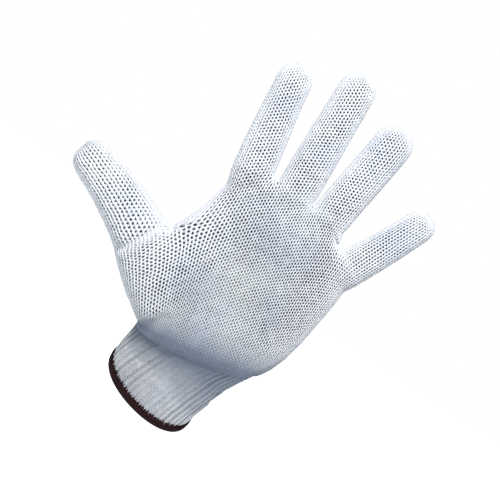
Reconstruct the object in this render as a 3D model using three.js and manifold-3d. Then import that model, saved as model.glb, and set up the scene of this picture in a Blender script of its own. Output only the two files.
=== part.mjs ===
// A seamless knitted cotton work glove, in the form that a spread left hand gives it.
// Millimetres. +Z runs along the hand to the fingertips, +X to the little finger's side,
// and the palm faces -Y. The origin is the centre of the cuff's opening.
import * as THREE from 'three';
import { mergeVertices } from 'three/addons/utils/BufferGeometryUtils.js';
import Module from 'manifold-3d';

// Cloth
const WALL = 1.8; // knitted wall of the hand
const CUFF_WALL = 2.4; // ribbed wall of the cuff
const SEAM_GAP = 0.3; // clearance between two tubes where they meet

// Cuff
const CUFF_LENGTH = 46; // from the opening to the wrist joint, along the cuff
const WRIST_WIDTH = 70;
const WRIST_DEPTH = 46;
const CUFF_TILT = 32; // degrees that the cuff bends back from the hand's plane
const HEM_ROLL = 10; // degrees that the opening drops towards the little finger's side
const RIB_COUNT = 52;
const RIB_DEPTH = 0.7;
const CUFF_TOP_TILT = 20; // degrees that the line where the ribs end drops at the front
const CUFF_TOP_ROLL = 13; // degrees that the same line climbs to the little finger's side

// Overlocked edge of the cuff
const BINDING_HEIGHT = 4.4;
const BINDING_THICKNESS = 1;

// Palm
const PALM_WIDTH = 96; // across the knuckles
const PALM_LENGTH = 109; // from the wrist joint to the crotch of the middle finger
const PALM_DEPTH = 40; // through the heel of the hand
const PALM_SHIFT = 17.3; // the knuckles' middle lies this far to +X of the cuff's opening
const PALM_ADVANCE = 2.5; // the hand's plane lies this far in front of the wrist joint

// Fingers and thumb
const INDEX_LENGTH = 68.5;
const INDEX_WIDTH = 26.8;
const MIDDLE_LENGTH = 83;
const MIDDLE_WIDTH = 27.2;
const RING_LENGTH = 71;
const RING_WIDTH = 25.8;
const LITTLE_LENGTH = 60;
const LITTLE_WIDTH = 23.8;
const THUMB_LENGTH = 69;
const THUMB_WIDTH = 30;
const FINGER_FLATNESS = 0.86; // depth of a finger for its width
const THUMB_FLATNESS = 0.92;

// Facets
const LAST_SECTION_REACH = 0.95; // share of the way to its dome where a finger's sections end
const PALM_SIDES = 40;
const FINGER_SIDES = 18;
const DOME_RINGS = 4;

// Section shapes: 2 is an ellipse, more is boxier
const CUFF_POWER = 2.1;
const PALM_POWER = 2.3;
const FINGER_POWER = 2.2;
const DOME_POWER = 2.3;

// Sections of the cuff, from the opening to the wrist joint. Shares: up of CUFF_LENGTH; across
// and half of WRIST_WIDTH; front and back of WRIST_DEPTH; tilt of CUFF_TILT; roll of HEM_ROLL.
const CUFF_SECTIONS = [
  { up: 0.0, across: 0.0, half: 0.452, front: 0.5, back: 0.5, tilt: 1.0, roll: 1.0 },
  { up: 0.25, across: 0.014, half: 0.472, front: 0.5, back: 0.49, tilt: 1.0, roll: 0.8 },
  { up: 0.5, across: 0.046, half: 0.482, front: 0.485, back: 0.47, tilt: 0.97, roll: 0.6 },
  { up: 0.74, across: 0.087, half: 0.505, front: 0.455, back: 0.45, tilt: 0.85, roll: 0.3 },
  { up: 0.9, across: 0.116, half: 0.532, front: 0.475, back: 0.43, tilt: 0.62, roll: 0.1 },
];

// Sections of the palm, from the wrist joint to the crotches. Shares: up of PALM_LENGTH; left
// and right of PALM_WIDTH; front and back of PALM_DEPTH.
const PALM_SECTIONS = [
  { up: 0.02, left: 0.478, right: 0.33, front: 0.53, back: 0.46, tilt: 0.3 },
  { up: 0.1, left: 0.5, right: 0.382, front: 0.575, back: 0.455, tilt: 0.1 },
  { up: 0.21, left: 0.53, right: 0.43, front: 0.58, back: 0.45, tilt: 0.0 },
  { up: 0.34, left: 0.578, right: 0.464, front: 0.53, back: 0.44, tilt: 0.0 },
  { up: 0.45, left: 0.628, right: 0.482, front: 0.475, back: 0.43, tilt: 0.0 },
  { up: 0.53, left: 0.625, right: 0.493, front: 0.435, back: 0.42, tilt: 0.0 },
  { up: 0.606, left: 0.555, right: 0.505, front: 0.41, back: 0.42, tilt: 0.0 },
  { up: 0.68, left: 0.52, right: 0.511, front: 0.395, back: 0.415, tilt: 0.0 },
  { up: 0.76, left: 0.502, right: 0.503, front: 0.38, back: 0.4, tilt: 0.0 },
  { up: 0.85, left: 0.48, right: 0.44, front: 0.34, back: 0.36, tilt: 0.0 },
  { up: 0.915, left: 0.45, right: 0.3, front: 0.27, back: 0.29, tilt: 0.0 },
  { up: 0.96, left: 0.4, right: 0.21, front: 0.18, back: 0.19, tilt: 0.0 },
  { up: 0.985, left: 0.35, right: 0.16, front: 0.08, back: 0.09, tilt: 0.0 },
];

// Finger and thumb roots. Shares: across of PALM_WIDTH, up of PALM_LENGTH; forward of PALM_DEPTH;
// hook and curl of the finger's own length, as its tip bends sideways and to the palm; tip of its
// width. lean is in degrees.
const INDEX = {
  name: 'index_finger', length: INDEX_LENGTH, width: INDEX_WIDTH, flatness: FINGER_FLATNESS,
  across: -0.384, up: 1.0, lean: -10, forward: -0.03, hook: 0.036, curl: 0.06, tip: 0.86,
};
const MIDDLE = {
  name: 'middle_finger', length: MIDDLE_LENGTH, width: MIDDLE_WIDTH, flatness: FINGER_FLATNESS,
  across: -0.081, up: 1.0, lean: -2, forward: -0.03, hook: 0.0, curl: 0.05, tip: 0.9,
};
const RING = {
  name: 'ring_finger', length: RING_LENGTH, width: RING_WIDTH, flatness: FINGER_FLATNESS,
  across: 0.179, up: 0.982, lean: 8.7, forward: -0.03, hook: -0.012, curl: 0.06, tip: 0.98,
};
const LITTLE = {
  name: 'little_finger', length: LITTLE_LENGTH, width: LITTLE_WIDTH, flatness: FINGER_FLATNESS,
  across: 0.446, up: 0.806, lean: 28.5, forward: -0.03, hook: -0.05, curl: 0.07, tip: 0.87,
};
const THUMB = {
  name: 'thumb', length: THUMB_LENGTH, width: THUMB_WIDTH, flatness: THUMB_FLATNESS,
  across: -0.702, up: 0.325, lean: -57, forward: 0.05, hook: -0.15, curl: 0.04, tip: 0.89,
};
const FINGERS = [INDEX, MIDDLE, RING, LITTLE];

// Sections of a finger below its dome. Shares: up of the finger's length; width of its width;
// taper of the way from the root's width to the tip's.
const FINGER_SECTIONS = [
  { up: -0.42, width: 0.78, taper: 0.0 },
  { up: -0.2, width: 0.9, taper: 0.0 },
  { up: -0.05, width: 0.99, taper: 0.0 },
  { up: 0.15, width: 1.0, taper: 0.1 },
  { up: 0.34, width: 1.0, taper: 0.35 },
  { up: 0.52, width: 1.0, taper: 0.6 },
  { up: 0.68, width: 1.0, taper: 0.85 },
];
const THUMB_SECTIONS = [
  { up: -0.64, width: 1.26, taper: 0.0 },
  { up: -0.36, width: 1.42, taper: 0.0 },
  { up: -0.12, width: 1.36, taper: 0.0 },
  { up: 0.06, width: 1.22, taper: 0.0 },
  { up: 0.22, width: 1.15, taper: 0.2 },
  { up: 0.38, width: 1.12, taper: 0.4 },
  { up: 0.56, width: 1.07, taper: 0.7 },
  { up: 0.7, width: 1.03, taper: 0.9 },
];

// Cutting blocks only have to reach past the glove
const REACH = 400;
const SECTOR_MARGIN = 0.35; // share of a finger's width that the block reaches past its free side

const wasm = await Module();
wasm.setup();

const radians = THREE.MathUtils.degToRad;
const wrist = new THREE.Vector3(
  0,
  -CUFF_LENGTH * Math.sin(radians(CUFF_TILT)),
  CUFF_LENGTH * Math.cos(radians(CUFF_TILT)),
);
const handPlane = wrist.y - PALM_ADVANCE;

// Signed power, which turns a circle's sine and cosine into a superellipse's.
function bulge(value, power) {
  return Math.sign(value) * Math.abs(value) ** (2 / power);
}

// One closed ring of points. reach holds its left, right, front and back half sizes, and inset(i)
// says how far point i lies inside them.
function ring(centre, tilt, roll, reach, power, sides, inset) {
  const turn = new THREE.Euler(radians(tilt), radians(roll), 0, 'YXZ');
  const points = [];
  for (let i = 0; i < sides; i += 1) {
    const angle = (2 * Math.PI * i) / sides;
    const c = Math.cos(angle);
    const s = Math.sin(angle);
    const width = (c > 0 ? reach.right : reach.left) - inset(i);
    const depth = (s > 0 ? reach.back : reach.front) - inset(i);
    const point = new THREE.Vector3(bulge(c, power) * width, bulge(s, power) * depth, 0);
    points.push(point.applyEuler(turn).add(centre));
  }
  return points;
}

// Closed geometry from triangles, turned the right way out.
function closedGeometry(points, faces) {
  const positions = new Float32Array(points.flatMap((p) => [p.x, p.y, p.z]));
  let volume = 0;
  for (const [a, b, c] of faces) {
    volume += points[a].dot(new THREE.Vector3().crossVectors(points[b], points[c]));
  }
  const outward = volume > 0 ? faces : faces.map(([a, b, c]) => [a, c, b]);
  const geometry = new THREE.BufferGeometry();
  geometry.setAttribute('position', new THREE.BufferAttribute(positions, 3));
  geometry.setIndex(outward.flat());
  return geometry;
}

// A closed body lofted through rings of equal count, with a fan over each end.
function loft(rings) {
  const sides = rings[0].length;
  const points = rings.flat();
  const faces = [];
  for (let r = 0; r + 1 < rings.length; r += 1) {
    for (let i = 0; i < sides; i += 1) {
      const j = (i + 1) % sides;
      const low = r * sides;
      const high = low + sides;
      faces.push([low + i, low + j, high + j], [low + i, high + j, high + i]);
    }
  }
  const top = (rings.length - 1) * sides;
  for (const [start, flip] of [[0, true], [top, false]]) {
    const middle = new THREE.Vector3();
    for (let i = 0; i < sides; i += 1) {
      middle.addScaledVector(points[start + i], 1 / sides);
    }
    points.push(middle);
    const hub = points.length - 1;
    for (let i = 0; i < sides; i += 1) {
      const j = (i + 1) % sides;
      faces.push(flip ? [start + j, start + i, hub] : [start + i, start + j, hub]);
    }
  }
  return closedGeometry(points, faces);
}

// A closed body swept round a closed loop of rings, as a hoop is.
function hoop(rings) {
  const sides = rings[0].length;
  const faces = [];
  for (let r = 0; r < rings.length; r += 1) {
    const low = r * sides;
    const high = ((r + 1) % rings.length) * sides;
    for (let i = 0; i < sides; i += 1) {
      const j = (i + 1) % sides;
      faces.push([low + i, low + j, high + j], [low + i, high + j, high + i]);
    }
  }
  return closedGeometry(rings.flat(), faces);
}

function solid(geometry) {
  geometry.deleteAttribute('normal');
  geometry.deleteAttribute('uv');
  const merged = mergeVertices(geometry);
  const mesh = new wasm.Mesh({
    numProp: 3,
    vertProperties: new Float32Array(merged.attributes.position.array),
    triVerts: new Uint32Array(merged.index.array),
  });
  return new wasm.Manifold(mesh);
}

function unite(bodies) {
  return bodies.reduce((whole, body) => whole.add(body));
}

// The cuff's section at a distance from the opening, blended between the rows of its table.
function cuffSection(distance) {
  const share = THREE.MathUtils.clamp(distance / CUFF_LENGTH, 0, CUFF_SECTIONS.at(-1).up);
  const next = Math.max(1, CUFF_SECTIONS.findIndex((row) => row.up >= share));
  const low = CUFF_SECTIONS[next - 1];
  const high = CUFF_SECTIONS[next];
  const blend = (share - low.up) / (high.up - low.up);
  const mixed = {};
  for (const key of Object.keys(low)) {
    mixed[key] = THREE.MathUtils.lerp(low[key], high[key], blend);
  }
  return mixed;
}

// The cuff's ring at a distance from the opening, moved inwards by inset(i).
function cuffRing(distance, sides, inset) {
  const section = cuffSection(distance);
  const along = distance / CUFF_LENGTH;
  const centre = new THREE.Vector3(section.across * WRIST_WIDTH, wrist.y * along, wrist.z * along);
  const reach = {
    left: section.half * WRIST_WIDTH,
    right: section.half * WRIST_WIDTH,
    front: section.front * WRIST_DEPTH,
    back: section.back * WRIST_DEPTH,
  };
  const tilt = section.tilt * CUFF_TILT;
  const roll = section.roll * HEM_ROLL;
  return ring(centre, tilt, roll, reach, CUFF_POWER, sides, inset);
}

// The palm's ring for a row of its table, moved inwards by inset(i). drop shortens the palm.
function palmRing(section, sides, inset, drop) {
  const up = wrist.z + section.up * (PALM_LENGTH - drop);
  const centre = new THREE.Vector3(PALM_SHIFT, handPlane, up);
  const reach = {
    left: section.left * PALM_WIDTH,
    right: section.right * PALM_WIDTH,
    front: section.front * PALM_DEPTH,
    back: section.back * PALM_DEPTH,
  };
  return ring(centre, section.tilt * CUFF_TILT, 0, reach, PALM_POWER, sides, inset);
}

// The hand's tube from the cuff's opening to the crotches, smaller by inset all round. The
// opening's end is moved along the cuff by start.
function handTube(inset, start) {
  const rings = [cuffRing(start, PALM_SIDES, () => inset)];
  for (const section of CUFF_SECTIONS.slice(1)) {
    rings.push(cuffRing(section.up * CUFF_LENGTH, PALM_SIDES, () => inset));
  }
  for (const section of PALM_SECTIONS) {
    rings.push(palmRing(section, PALM_SIDES, () => inset, inset));
  }
  return solid(loft(rings));
}

// Directions of a finger in the hand's plane: along it, and to its +X side.
function fingerAxis(finger) {
  const lean = radians(finger.lean);
  return new THREE.Vector3(Math.sin(lean), 0, Math.cos(lean));
}

function fingerSide(finger) {
  const lean = radians(finger.lean);
  return new THREE.Vector3(Math.cos(lean), 0, -Math.sin(lean));
}

function fingerRoot(finger) {
  return new THREE.Vector3(
    PALM_SHIFT + finger.across * PALM_WIDTH,
    handPlane - finger.forward * PALM_DEPTH,
    wrist.z + finger.up * PALM_LENGTH,
  );
}

// A point on a finger's centre line, which bends sideways and forwards with the square of the
// distance from its root.
function fingerPoint(finger, distance) {
  const bend = (distance * distance) / finger.length;
  const point = fingerRoot(finger).addScaledVector(fingerAxis(finger), distance);
  point.addScaledVector(fingerSide(finger), finger.hook * bend);
  point.y -= finger.curl * bend;
  return point;
}

// A finger's ring across its centre line at a distance from its root.
function fingerRing(finger, distance, halfWidth, halfDepth) {
  const step = finger.length / 100;
  const centre = fingerPoint(finger, distance);
  const along = fingerPoint(finger, distance + step).sub(fingerPoint(finger, distance - step));
  along.normalize();
  const back = new THREE.Vector3(0, 1, 0).addScaledVector(along, -along.y).normalize();
  const side = new THREE.Vector3().crossVectors(back, along);
  const points = [];
  for (let i = 0; i < FINGER_SIDES; i += 1) {
    const angle = (2 * Math.PI * i) / FINGER_SIDES;
    const point = centre.clone();
    point.addScaledVector(side, bulge(Math.cos(angle), FINGER_POWER) * halfWidth);
    point.addScaledVector(back, bulge(Math.sin(angle), FINGER_POWER) * halfDepth);
    points.push(point);
  }
  return points;
}

// A whole finger with its rounded tip, smaller by inset all round.
function fingerTube(finger, sections, inset) {
  const half = finger.width / 2;
  const tipHalf = half * finger.tip;
  const domeStart = finger.length - tipHalf;
  const domeHeight = tipHalf - inset;
  const rings = [];
  for (const section of sections) {
    const halfWidth = half * section.width * (1 - section.taper * (1 - finger.tip));
    const distance = Math.min(section.up * finger.length, domeStart * LAST_SECTION_REACH);
    rings.push(fingerRing(finger, distance, halfWidth - inset, halfWidth * finger.flatness - inset));
  }
  for (let k = 0; k < DOME_RINGS; k += 1) {
    const angle = (Math.PI / 2) * ((k + 0.2) / DOME_RINGS);
    const shrink = bulge(Math.cos(angle), DOME_POWER);
    const distance = domeStart + domeHeight * bulge(Math.sin(angle), DOME_POWER);
    const halfWidth = (tipHalf - inset) * shrink;
    const halfDepth = (tipHalf * finger.flatness - inset) * shrink;
    rings.push(fingerRing(finger, distance, halfWidth, halfDepth));
  }
  return solid(loft(rings));
}

// A block cut from the hand's plane, whose outline is given in X and Z.
function block(corners) {
  const shape = new THREE.Shape(corners.map((p) => new THREE.Vector2(p.x, p.z)));
  const geometry = new THREE.ExtrudeGeometry(shape, { depth: 2 * REACH, bevelEnabled: false });
  geometry.rotateX(Math.PI / 2);
  geometry.translate(0, REACH, 0);
  return solid(geometry);
}

function directionAt(degrees) {
  return new THREE.Vector3(Math.sin(radians(degrees)), 0, Math.cos(radians(degrees)));
}

// The point midway between the facing sides of two neighbouring fingers' roots.
function crotch(left, right) {
  const a = fingerRoot(left).addScaledVector(fingerSide(left), left.width / 2);
  const b = fingerRoot(right).addScaledVector(fingerSide(right), -right.width / 2);
  return a.lerp(b, 0.5);
}

// A finger's cutting block opens on its free side by twice its lean to its neighbour.
function freeLean(finger, neighbour) {
  return 2 * finger.lean - neighbour.lean;
}

// The block that holds one finger above its root. The root line runs between its crotches, and
// gap draws the block in on every side.
function fingerBlock(index, gap) {
  const finger = FINGERS[index];
  const outer = finger.width * (0.5 + SECTOR_MARGIN);
  const rootEnd = (sign) => fingerRoot(finger).addScaledVector(fingerSide(finger), sign * outer);
  const first = index === 0;
  const last = index === FINGERS.length - 1;
  const left = first ? rootEnd(-1) : crotch(FINGERS[index - 1], finger);
  const right = last ? rootEnd(1) : crotch(finger, FINGERS[index + 1]);
  const before = FINGERS[index - 1];
  const after = FINGERS[index + 1];
  const leftLean = first ? freeLean(finger, after) : (before.lean + finger.lean) / 2;
  const rightLean = last ? freeLean(finger, before) : (after.lean + finger.lean) / 2;
  const drawIn = right.clone().sub(left).normalize();
  const raise = new THREE.Vector3(-drawIn.z, 0, drawIn.x);
  left.addScaledVector(drawIn, gap).addScaledVector(raise, gap);
  right.addScaledVector(drawIn, -gap).addScaledVector(raise, gap);
  const farLeft = left.clone().addScaledVector(directionAt(leftLean), REACH);
  const farRight = right.clone().addScaledVector(directionAt(rightLean), REACH);
  return block([left, right, farRight, farLeft]);
}

// The block that holds the thumb beyond its root.
function thumbBlock(gap) {
  const half = THUMB_WIDTH * (1 + SECTOR_MARGIN / 2);
  const axis = fingerAxis(THUMB);
  const side = fingerSide(THUMB);
  const root = fingerRoot(THUMB).addScaledVector(axis, gap);
  const low = root.clone().addScaledVector(side, -half);
  const high = root.clone().addScaledVector(side, half - gap);
  const farLow = low.clone().addScaledVector(directionAt(freeLean(THUMB, INDEX)), REACH);
  const farHigh = high.clone().addScaledVector(directionAt(THUMB.lean), REACH);
  return block([high, farHigh, farLow, low]);
}

// The block below the line where the ribs end, lowered by drop.
function belowCuffTop(drop) {
  const geometry = new THREE.BoxGeometry(2 * REACH, 2 * REACH, 2 * REACH);
  geometry.translate(0, 0, -REACH - drop);
  const tilt = radians(CUFF_TOP_TILT);
  const roll = -radians(CUFF_TOP_ROLL);
  const turn = new THREE.Euler(tilt, roll, 0, 'YXZ');
  geometry.applyMatrix4(new THREE.Matrix4().makeRotationFromEuler(turn));
  const middle = CUFF_SECTIONS.at(-1).across * WRIST_WIDTH;
  geometry.translate(middle, wrist.y, wrist.z);
  return solid(geometry);
}

// The ribbed cuff: a grooved tube from the overlocked edge up to the wrist.
function ribCuff() {
  const sides = 2 * RIB_COUNT;
  const groove = (i) => (i % 2) * RIB_DEPTH;
  const start = BINDING_THICKNESS + SEAM_GAP;
  const stations = [start];
  for (const section of CUFF_SECTIONS.slice(1)) {
    stations.push(section.up * CUFF_LENGTH);
  }
  const outer = stations.map((distance) => cuffRing(distance, sides, groove));
  const inner = stations.map((distance) => cuffRing(distance, RIB_COUNT, () => CUFF_WALL));
  inner.unshift(cuffRing(-start, RIB_COUNT, () => CUFF_WALL));
  for (const section of PALM_SECTIONS.slice(0, 4)) {
    outer.push(palmRing(section, sides, groove, 0));
    inner.push(palmRing(section, RIB_COUNT, () => CUFF_WALL, 0));
  }
  const tube = solid(loft(outer)).subtract(solid(loft(inner)));
  return tube.intersect(belowCuffTop(SEAM_GAP));
}

// The overlocked edge: a hoop of U section that wraps the cuff's rim.
function edgeBinding() {
  const outside = -SEAM_GAP;
  const inside = CUFF_WALL + SEAM_GAP;
  const thickness = BINDING_THICKNESS;
  const round = thickness * 0.6;
  const profile = [
    [BINDING_HEIGHT, outside],
    [BINDING_HEIGHT, outside - thickness],
    [round, outside - thickness],
    [0, outside - thickness + round],
    [0, inside + thickness - round],
    [round, inside + thickness],
    [BINDING_HEIGHT, inside + thickness],
    [BINDING_HEIGHT, inside],
    [thickness, inside],
    [thickness, outside],
  ];
  const loops = profile.map(([distance, inset]) => cuffRing(distance, RIB_COUNT, () => inset));
  return solid(hoop(loops));
}

const materials = {
  cotton: { color: 0xf2f2ee, roughness: 0.95, metalness: 0 },
  rib: { color: 0xe9ebee, roughness: 0.95, metalness: 0 },
  thread: { color: 0x3a1216, roughness: 0.85, metalness: 0 },
};

function piece(name, body, finish) {
  const { vertProperties, triVerts } = body.getMesh();
  const geometry = new THREE.BufferGeometry();
  geometry.setAttribute('position', new THREE.BufferAttribute(vertProperties, 3));
  geometry.setIndex(new THREE.BufferAttribute(triVerts, 1));
  geometry.computeVertexNormals();
  const mesh = new THREE.Mesh(geometry, new THREE.MeshStandardMaterial(materials[finish]));
  mesh.name = name;
  return mesh;
}

// The hand's whole shell, from the cuff to the fingertips.
function handShell() {
  const outer = [handTube(0, 0), fingerTube(THUMB, THUMB_SECTIONS, 0)];
  const inner = [handTube(WALL, -WALL), fingerTube(THUMB, THUMB_SECTIONS, WALL)];
  for (const finger of FINGERS) {
    outer.push(fingerTube(finger, FINGER_SECTIONS, 0));
    inner.push(fingerTube(finger, FINGER_SECTIONS, WALL));
  }
  return unite(outer).subtract(unite(inner));
}

const glove = new THREE.Group();
const shell = handShell();
const blocks = FINGERS.map((finger, index) => fingerBlock(index, 0));
const palm = shell.subtract(unite([...blocks, thumbBlock(0), belowCuffTop(0)]));
glove.add(piece('palm', palm, 'cotton'));
glove.add(piece('thumb', shell.intersect(thumbBlock(SEAM_GAP)), 'cotton'));
FINGERS.forEach((finger, index) => {
  glove.add(piece(finger.name, shell.intersect(fingerBlock(index, SEAM_GAP)), 'cotton'));
});
glove.add(piece('rib_cuff', ribCuff(), 'rib'));
glove.add(piece('edge_binding', edgeBinding(), 'thread'));

export default glove;
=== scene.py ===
"""A worn cotton work glove, knitted stitch by stitch over the fixed frame.

The frame gives the outer skin of every tube. A lattice of stitches is laid over that skin and
relaxed as real knitting is, the yarn of each course is run through it, and Geometry Nodes sweep
the yarn round its path. Lengths are millimetres until a mesh is made.
"""

import logging
import math
from dataclasses import dataclass, field
from enum import Enum

import bpy
import numpy as np
from mathutils import Matrix, Vector
from mathutils.bvhtree import BVHTree


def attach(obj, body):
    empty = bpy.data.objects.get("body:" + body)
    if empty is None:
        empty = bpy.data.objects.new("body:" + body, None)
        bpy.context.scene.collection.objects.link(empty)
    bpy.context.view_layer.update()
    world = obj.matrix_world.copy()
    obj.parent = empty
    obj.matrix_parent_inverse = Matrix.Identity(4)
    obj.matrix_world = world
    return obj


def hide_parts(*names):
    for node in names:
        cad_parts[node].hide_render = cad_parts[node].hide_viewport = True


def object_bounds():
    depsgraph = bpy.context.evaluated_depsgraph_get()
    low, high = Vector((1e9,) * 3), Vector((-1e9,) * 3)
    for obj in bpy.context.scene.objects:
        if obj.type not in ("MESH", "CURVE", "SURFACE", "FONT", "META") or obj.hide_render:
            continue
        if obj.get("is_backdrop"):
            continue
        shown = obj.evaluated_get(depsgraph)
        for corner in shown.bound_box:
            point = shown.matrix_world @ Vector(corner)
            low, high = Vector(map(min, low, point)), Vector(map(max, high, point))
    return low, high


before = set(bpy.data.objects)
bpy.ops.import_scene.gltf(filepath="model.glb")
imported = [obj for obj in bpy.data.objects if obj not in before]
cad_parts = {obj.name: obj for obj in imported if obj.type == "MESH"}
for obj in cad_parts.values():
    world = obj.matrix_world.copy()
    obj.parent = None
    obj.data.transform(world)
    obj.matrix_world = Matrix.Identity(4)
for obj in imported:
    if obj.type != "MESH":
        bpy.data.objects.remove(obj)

LOG = logging.getLogger("glove")
MM = 0.001
SEED = 7
Colour = tuple[float, float, float]


class Side(Enum):
    """Which panel of a tube a column lies on."""

    FRONT = -1
    BACK = 1


@dataclass(frozen=True)
class Gauge:
    """How tightly a stretch of the glove is knitted, in millimetres.

    Args:
        wale: distance from one column of stitches to the next.
        course: distance from one row of stitches to the next.
        yarn: radius of the yarn.
        lean: share of the wale that a stitch's legs swing sideways.
        rise: share of the course that a loop reaches above and below its row.
        depth: how far the legs stand in front of the loops' heads, halved.
        bar: share by which the yarn thickens where it crosses from leg to leg.
        samples: points along the yarn of one stitch.
        sides: facets round the yarn.
    """

    wale: float
    course: float
    yarn: float
    lean: float = 0.16
    rise: float = 0.75
    depth: float = 0.4
    bar: float = 0.15
    samples: int = 10
    sides: int = 5


@dataclass(frozen=True)
class Digit:
    """A finger or the thumb, as its CAD tube is set out.

    Args:
        node: its CAD node.
        root: X and Z of its root.
        lean: degrees from +Z towards +X.
        length: from its root to its tip.
        width: across its root.
        hook: share of its length that its tip bends sideways.
        curl: share of its length that its tip bends to the palm.
        columns: columns of stitches across its front.
        rows: rows of stitches from its root to its tip.
        root_swell: width at the root for the width further up.
    """

    node: str
    root: tuple[float, float]
    lean: float
    length: float
    width: float
    hook: float
    curl: float
    columns: int
    rows: int
    root_swell: float = 1.0

    @property
    def axis(self) -> np.ndarray:
        """Direction from the root to the tip."""
        return np.array([math.sin(math.radians(self.lean)), 0.0, math.cos(math.radians(self.lean))])

    @property
    def side(self) -> np.ndarray:
        """Direction across the finger, to the little finger's side."""
        return np.array([math.cos(math.radians(self.lean)), 0.0, -math.sin(math.radians(self.lean))])

    def centre(self, distance: float) -> np.ndarray:
        """Centre of the bent finger at a distance from its root."""
        start = np.array([self.root[0], HAND_PLANE, self.root[1]])
        bend = distance * abs(distance) / self.length
        return start + self.axis * distance + self.side * self.hook * bend + PALMWARD * self.curl * bend

    def along(self, distance: float) -> np.ndarray:
        """Direction of the bent finger at a distance from its root."""
        bend = 2 * abs(distance) / self.length
        return unit(self.axis + self.side * self.hook * bend + PALMWARD * self.curl * bend)

    def across(self, distance: float) -> np.ndarray:
        """Direction across the bent finger at a distance from its root."""
        return unit(np.cross(-PALMWARD, self.along(distance)))

    def corner(self, sign: int) -> np.ndarray:
        """Outermost point of the root, on the side that sign gives."""
        return self.centre(0.0) + self.side * sign * self.width / 2


HAND_PLANE = -26.9
PALM_MIDDLE = 6.0
PALMWARD = np.array([0.0, -1.0, 0.0])
INDEX = Digit("index_finger", (-19.6, 148.0), -10, 68.5, 26.8, 0.036, 0.06, 9, 34)
MIDDLE = Digit("middle_finger", (9.5, 148.0), -2, 83, 27.2, 0.0, 0.05, 9, 42)
RING = Digit("ring_finger", (34.5, 146.0), 8.7, 71, 25.8, -0.012, 0.06, 9, 36)
LITTLE = Digit("little_finger", (60.1, 126.9), 28.5, 60, 23.8, -0.05, 0.07, 8, 31)
THUMB = Digit("thumb", (-50.1, 74.4), -57, 69, 30, -0.15, 0.04, 10, 31, 1.3)
THUMB_WEB = (-42.0, 94.0)  # X and Z just under the hollow between the thumb and the palm
LONG_FINGERS = (INDEX, MIDDLE, RING)
FINGERS = (*LONG_FINGERS, LITTLE)
DIGITS = (*FINGERS, THUMB)

FINGER_GAUGE = Gauge(wale=4.3, course=2.0, yarn=0.6)
THUMB_GAUGE = Gauge(wale=4.3, course=2.0, yarn=0.68)
PALM_GAUGE = Gauge(wale=2.8, course=2.25, yarn=0.385, depth=0.34, bar=0.25)
CUFF_GAUGE = Gauge(wale=1.97, course=1.8, yarn=0.335, lean=0.17, depth=0.42, samples=8)


def unit(vectors: np.ndarray) -> np.ndarray:
    """Vectors of length one along those given."""
    size = np.linalg.norm(vectors, axis=-1, keepdims=True)
    return vectors / np.maximum(size, 1e-9)


class Skin:
    """The outer faces of some CAD nodes, for the knitting to lie on."""

    JOIN = 0.45  # how near another node a face lies where two tubes meet
    OUTWARD = 0.25  # how much a face looks away from its tube's middle to be outside
    LIFT = 0.05  # how far off its face a ray starts
    BODY = 0.9  # share of a digit's length whose middle line its faces look away from

    def __init__(self, names: tuple[str, ...]) -> None:
        """Gather the outer faces of the CAD nodes named."""
        corners: list[Vector] = []
        faces: list[tuple[int, ...]] = []
        shells = {}
        for name in names:
            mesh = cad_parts[name].data
            points = [v.co / MM for v in mesh.vertices]
            polygons = [tuple(p.vertices) for p in mesh.polygons]
            shells[name] = (points, BVHTree.FromPolygons(points, polygons))
        for name, (points, whole) in shells.items():
            others = [shell[1] for other, shell in shells.items() if other != name]
            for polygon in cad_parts[name].data.polygons:
                start = polygon.center / MM + polygon.normal * self.LIFT
                touching = any(tree.find_nearest(start, self.JOIN)[0] is not None for tree in others)
                open_air = whole.ray_cast(start, polygon.normal)[0] is None
                if not touching and (open_air or self.points_out(name, start, polygon.normal)):
                    first = len(corners)
                    corners.extend(points[i] for i in polygon.vertices)
                    faces.append(tuple(range(first, first + len(polygon.vertices))))
        self.tree = BVHTree.FromPolygons(corners, faces)

    def points_out(self, name: str, place: Vector, normal: Vector) -> bool:
        """Whether a face in a hollow between two tubes is on the outside.

        Args:
            name: the CAD node.
            place: the face's centre.
            normal: the face's direction.

        Returns:
            True where the face looks away from the middle of its tube.
        """
        digit = next((d for d in DIGITS if d.node == name), None)
        if digit is None and name != "palm":
            return False
        if digit is None:
            middle = np.array([PALM_MIDDLE, HAND_PLANE, place.z])
        else:
            start = digit.centre(0.0)
            reach = float(np.clip((np.array(place) - start) @ digit.axis, 0, digit.length * self.BODY))
            middle = digit.centre(reach)
        away = unit(np.array(place) - middle)
        return bool(away @ np.array(normal) > self.OUTWARD)

    def nearest(self, points: np.ndarray) -> np.ndarray:
        """Closest points of the skin to those given."""
        return np.array([self.tree.find_nearest(Vector(p))[0] for p in points])

    def meets(self, start: np.ndarray, direction: np.ndarray) -> np.ndarray | None:
        """Where a ray first meets the skin."""
        hit = self.tree.ray_cast(Vector(start), Vector(direction))[0]
        return None if hit is None else np.array(hit)


@dataclass
class Patch:
    """A tube of stitches whose rows close on themselves.

    Args:
        name: what the patch is called.
        grid: numbers of the lattice points, a row for each course and a column for each wale.
        gauge: how it is knitted.
        skin: what it lies on.
        below: the two rows that it grows out of, the lower one first.
        above: the two rows that grow out of it.
        first: the first row that is really knitted.
        last: the row after the last that is really knitted.
    """

    name: str
    grid: np.ndarray
    gauge: Gauge
    skin: Skin
    below: np.ndarray | None = None
    above: np.ndarray | None = None
    first: int = 0
    last: int = 0

    @property
    def extended(self) -> np.ndarray:
        """The grid with the two rows below and above it."""
        return np.vstack([self.below, self.grid, self.above])

    @property
    def around(self) -> tuple[np.ndarray, ...]:
        """The neighbours of every point: before, after, below and above it."""
        rows = self.extended
        return np.roll(self.grid, 1, axis=1), np.roll(self.grid, -1, axis=1), rows[1:-3], rows[3:-1]


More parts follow.
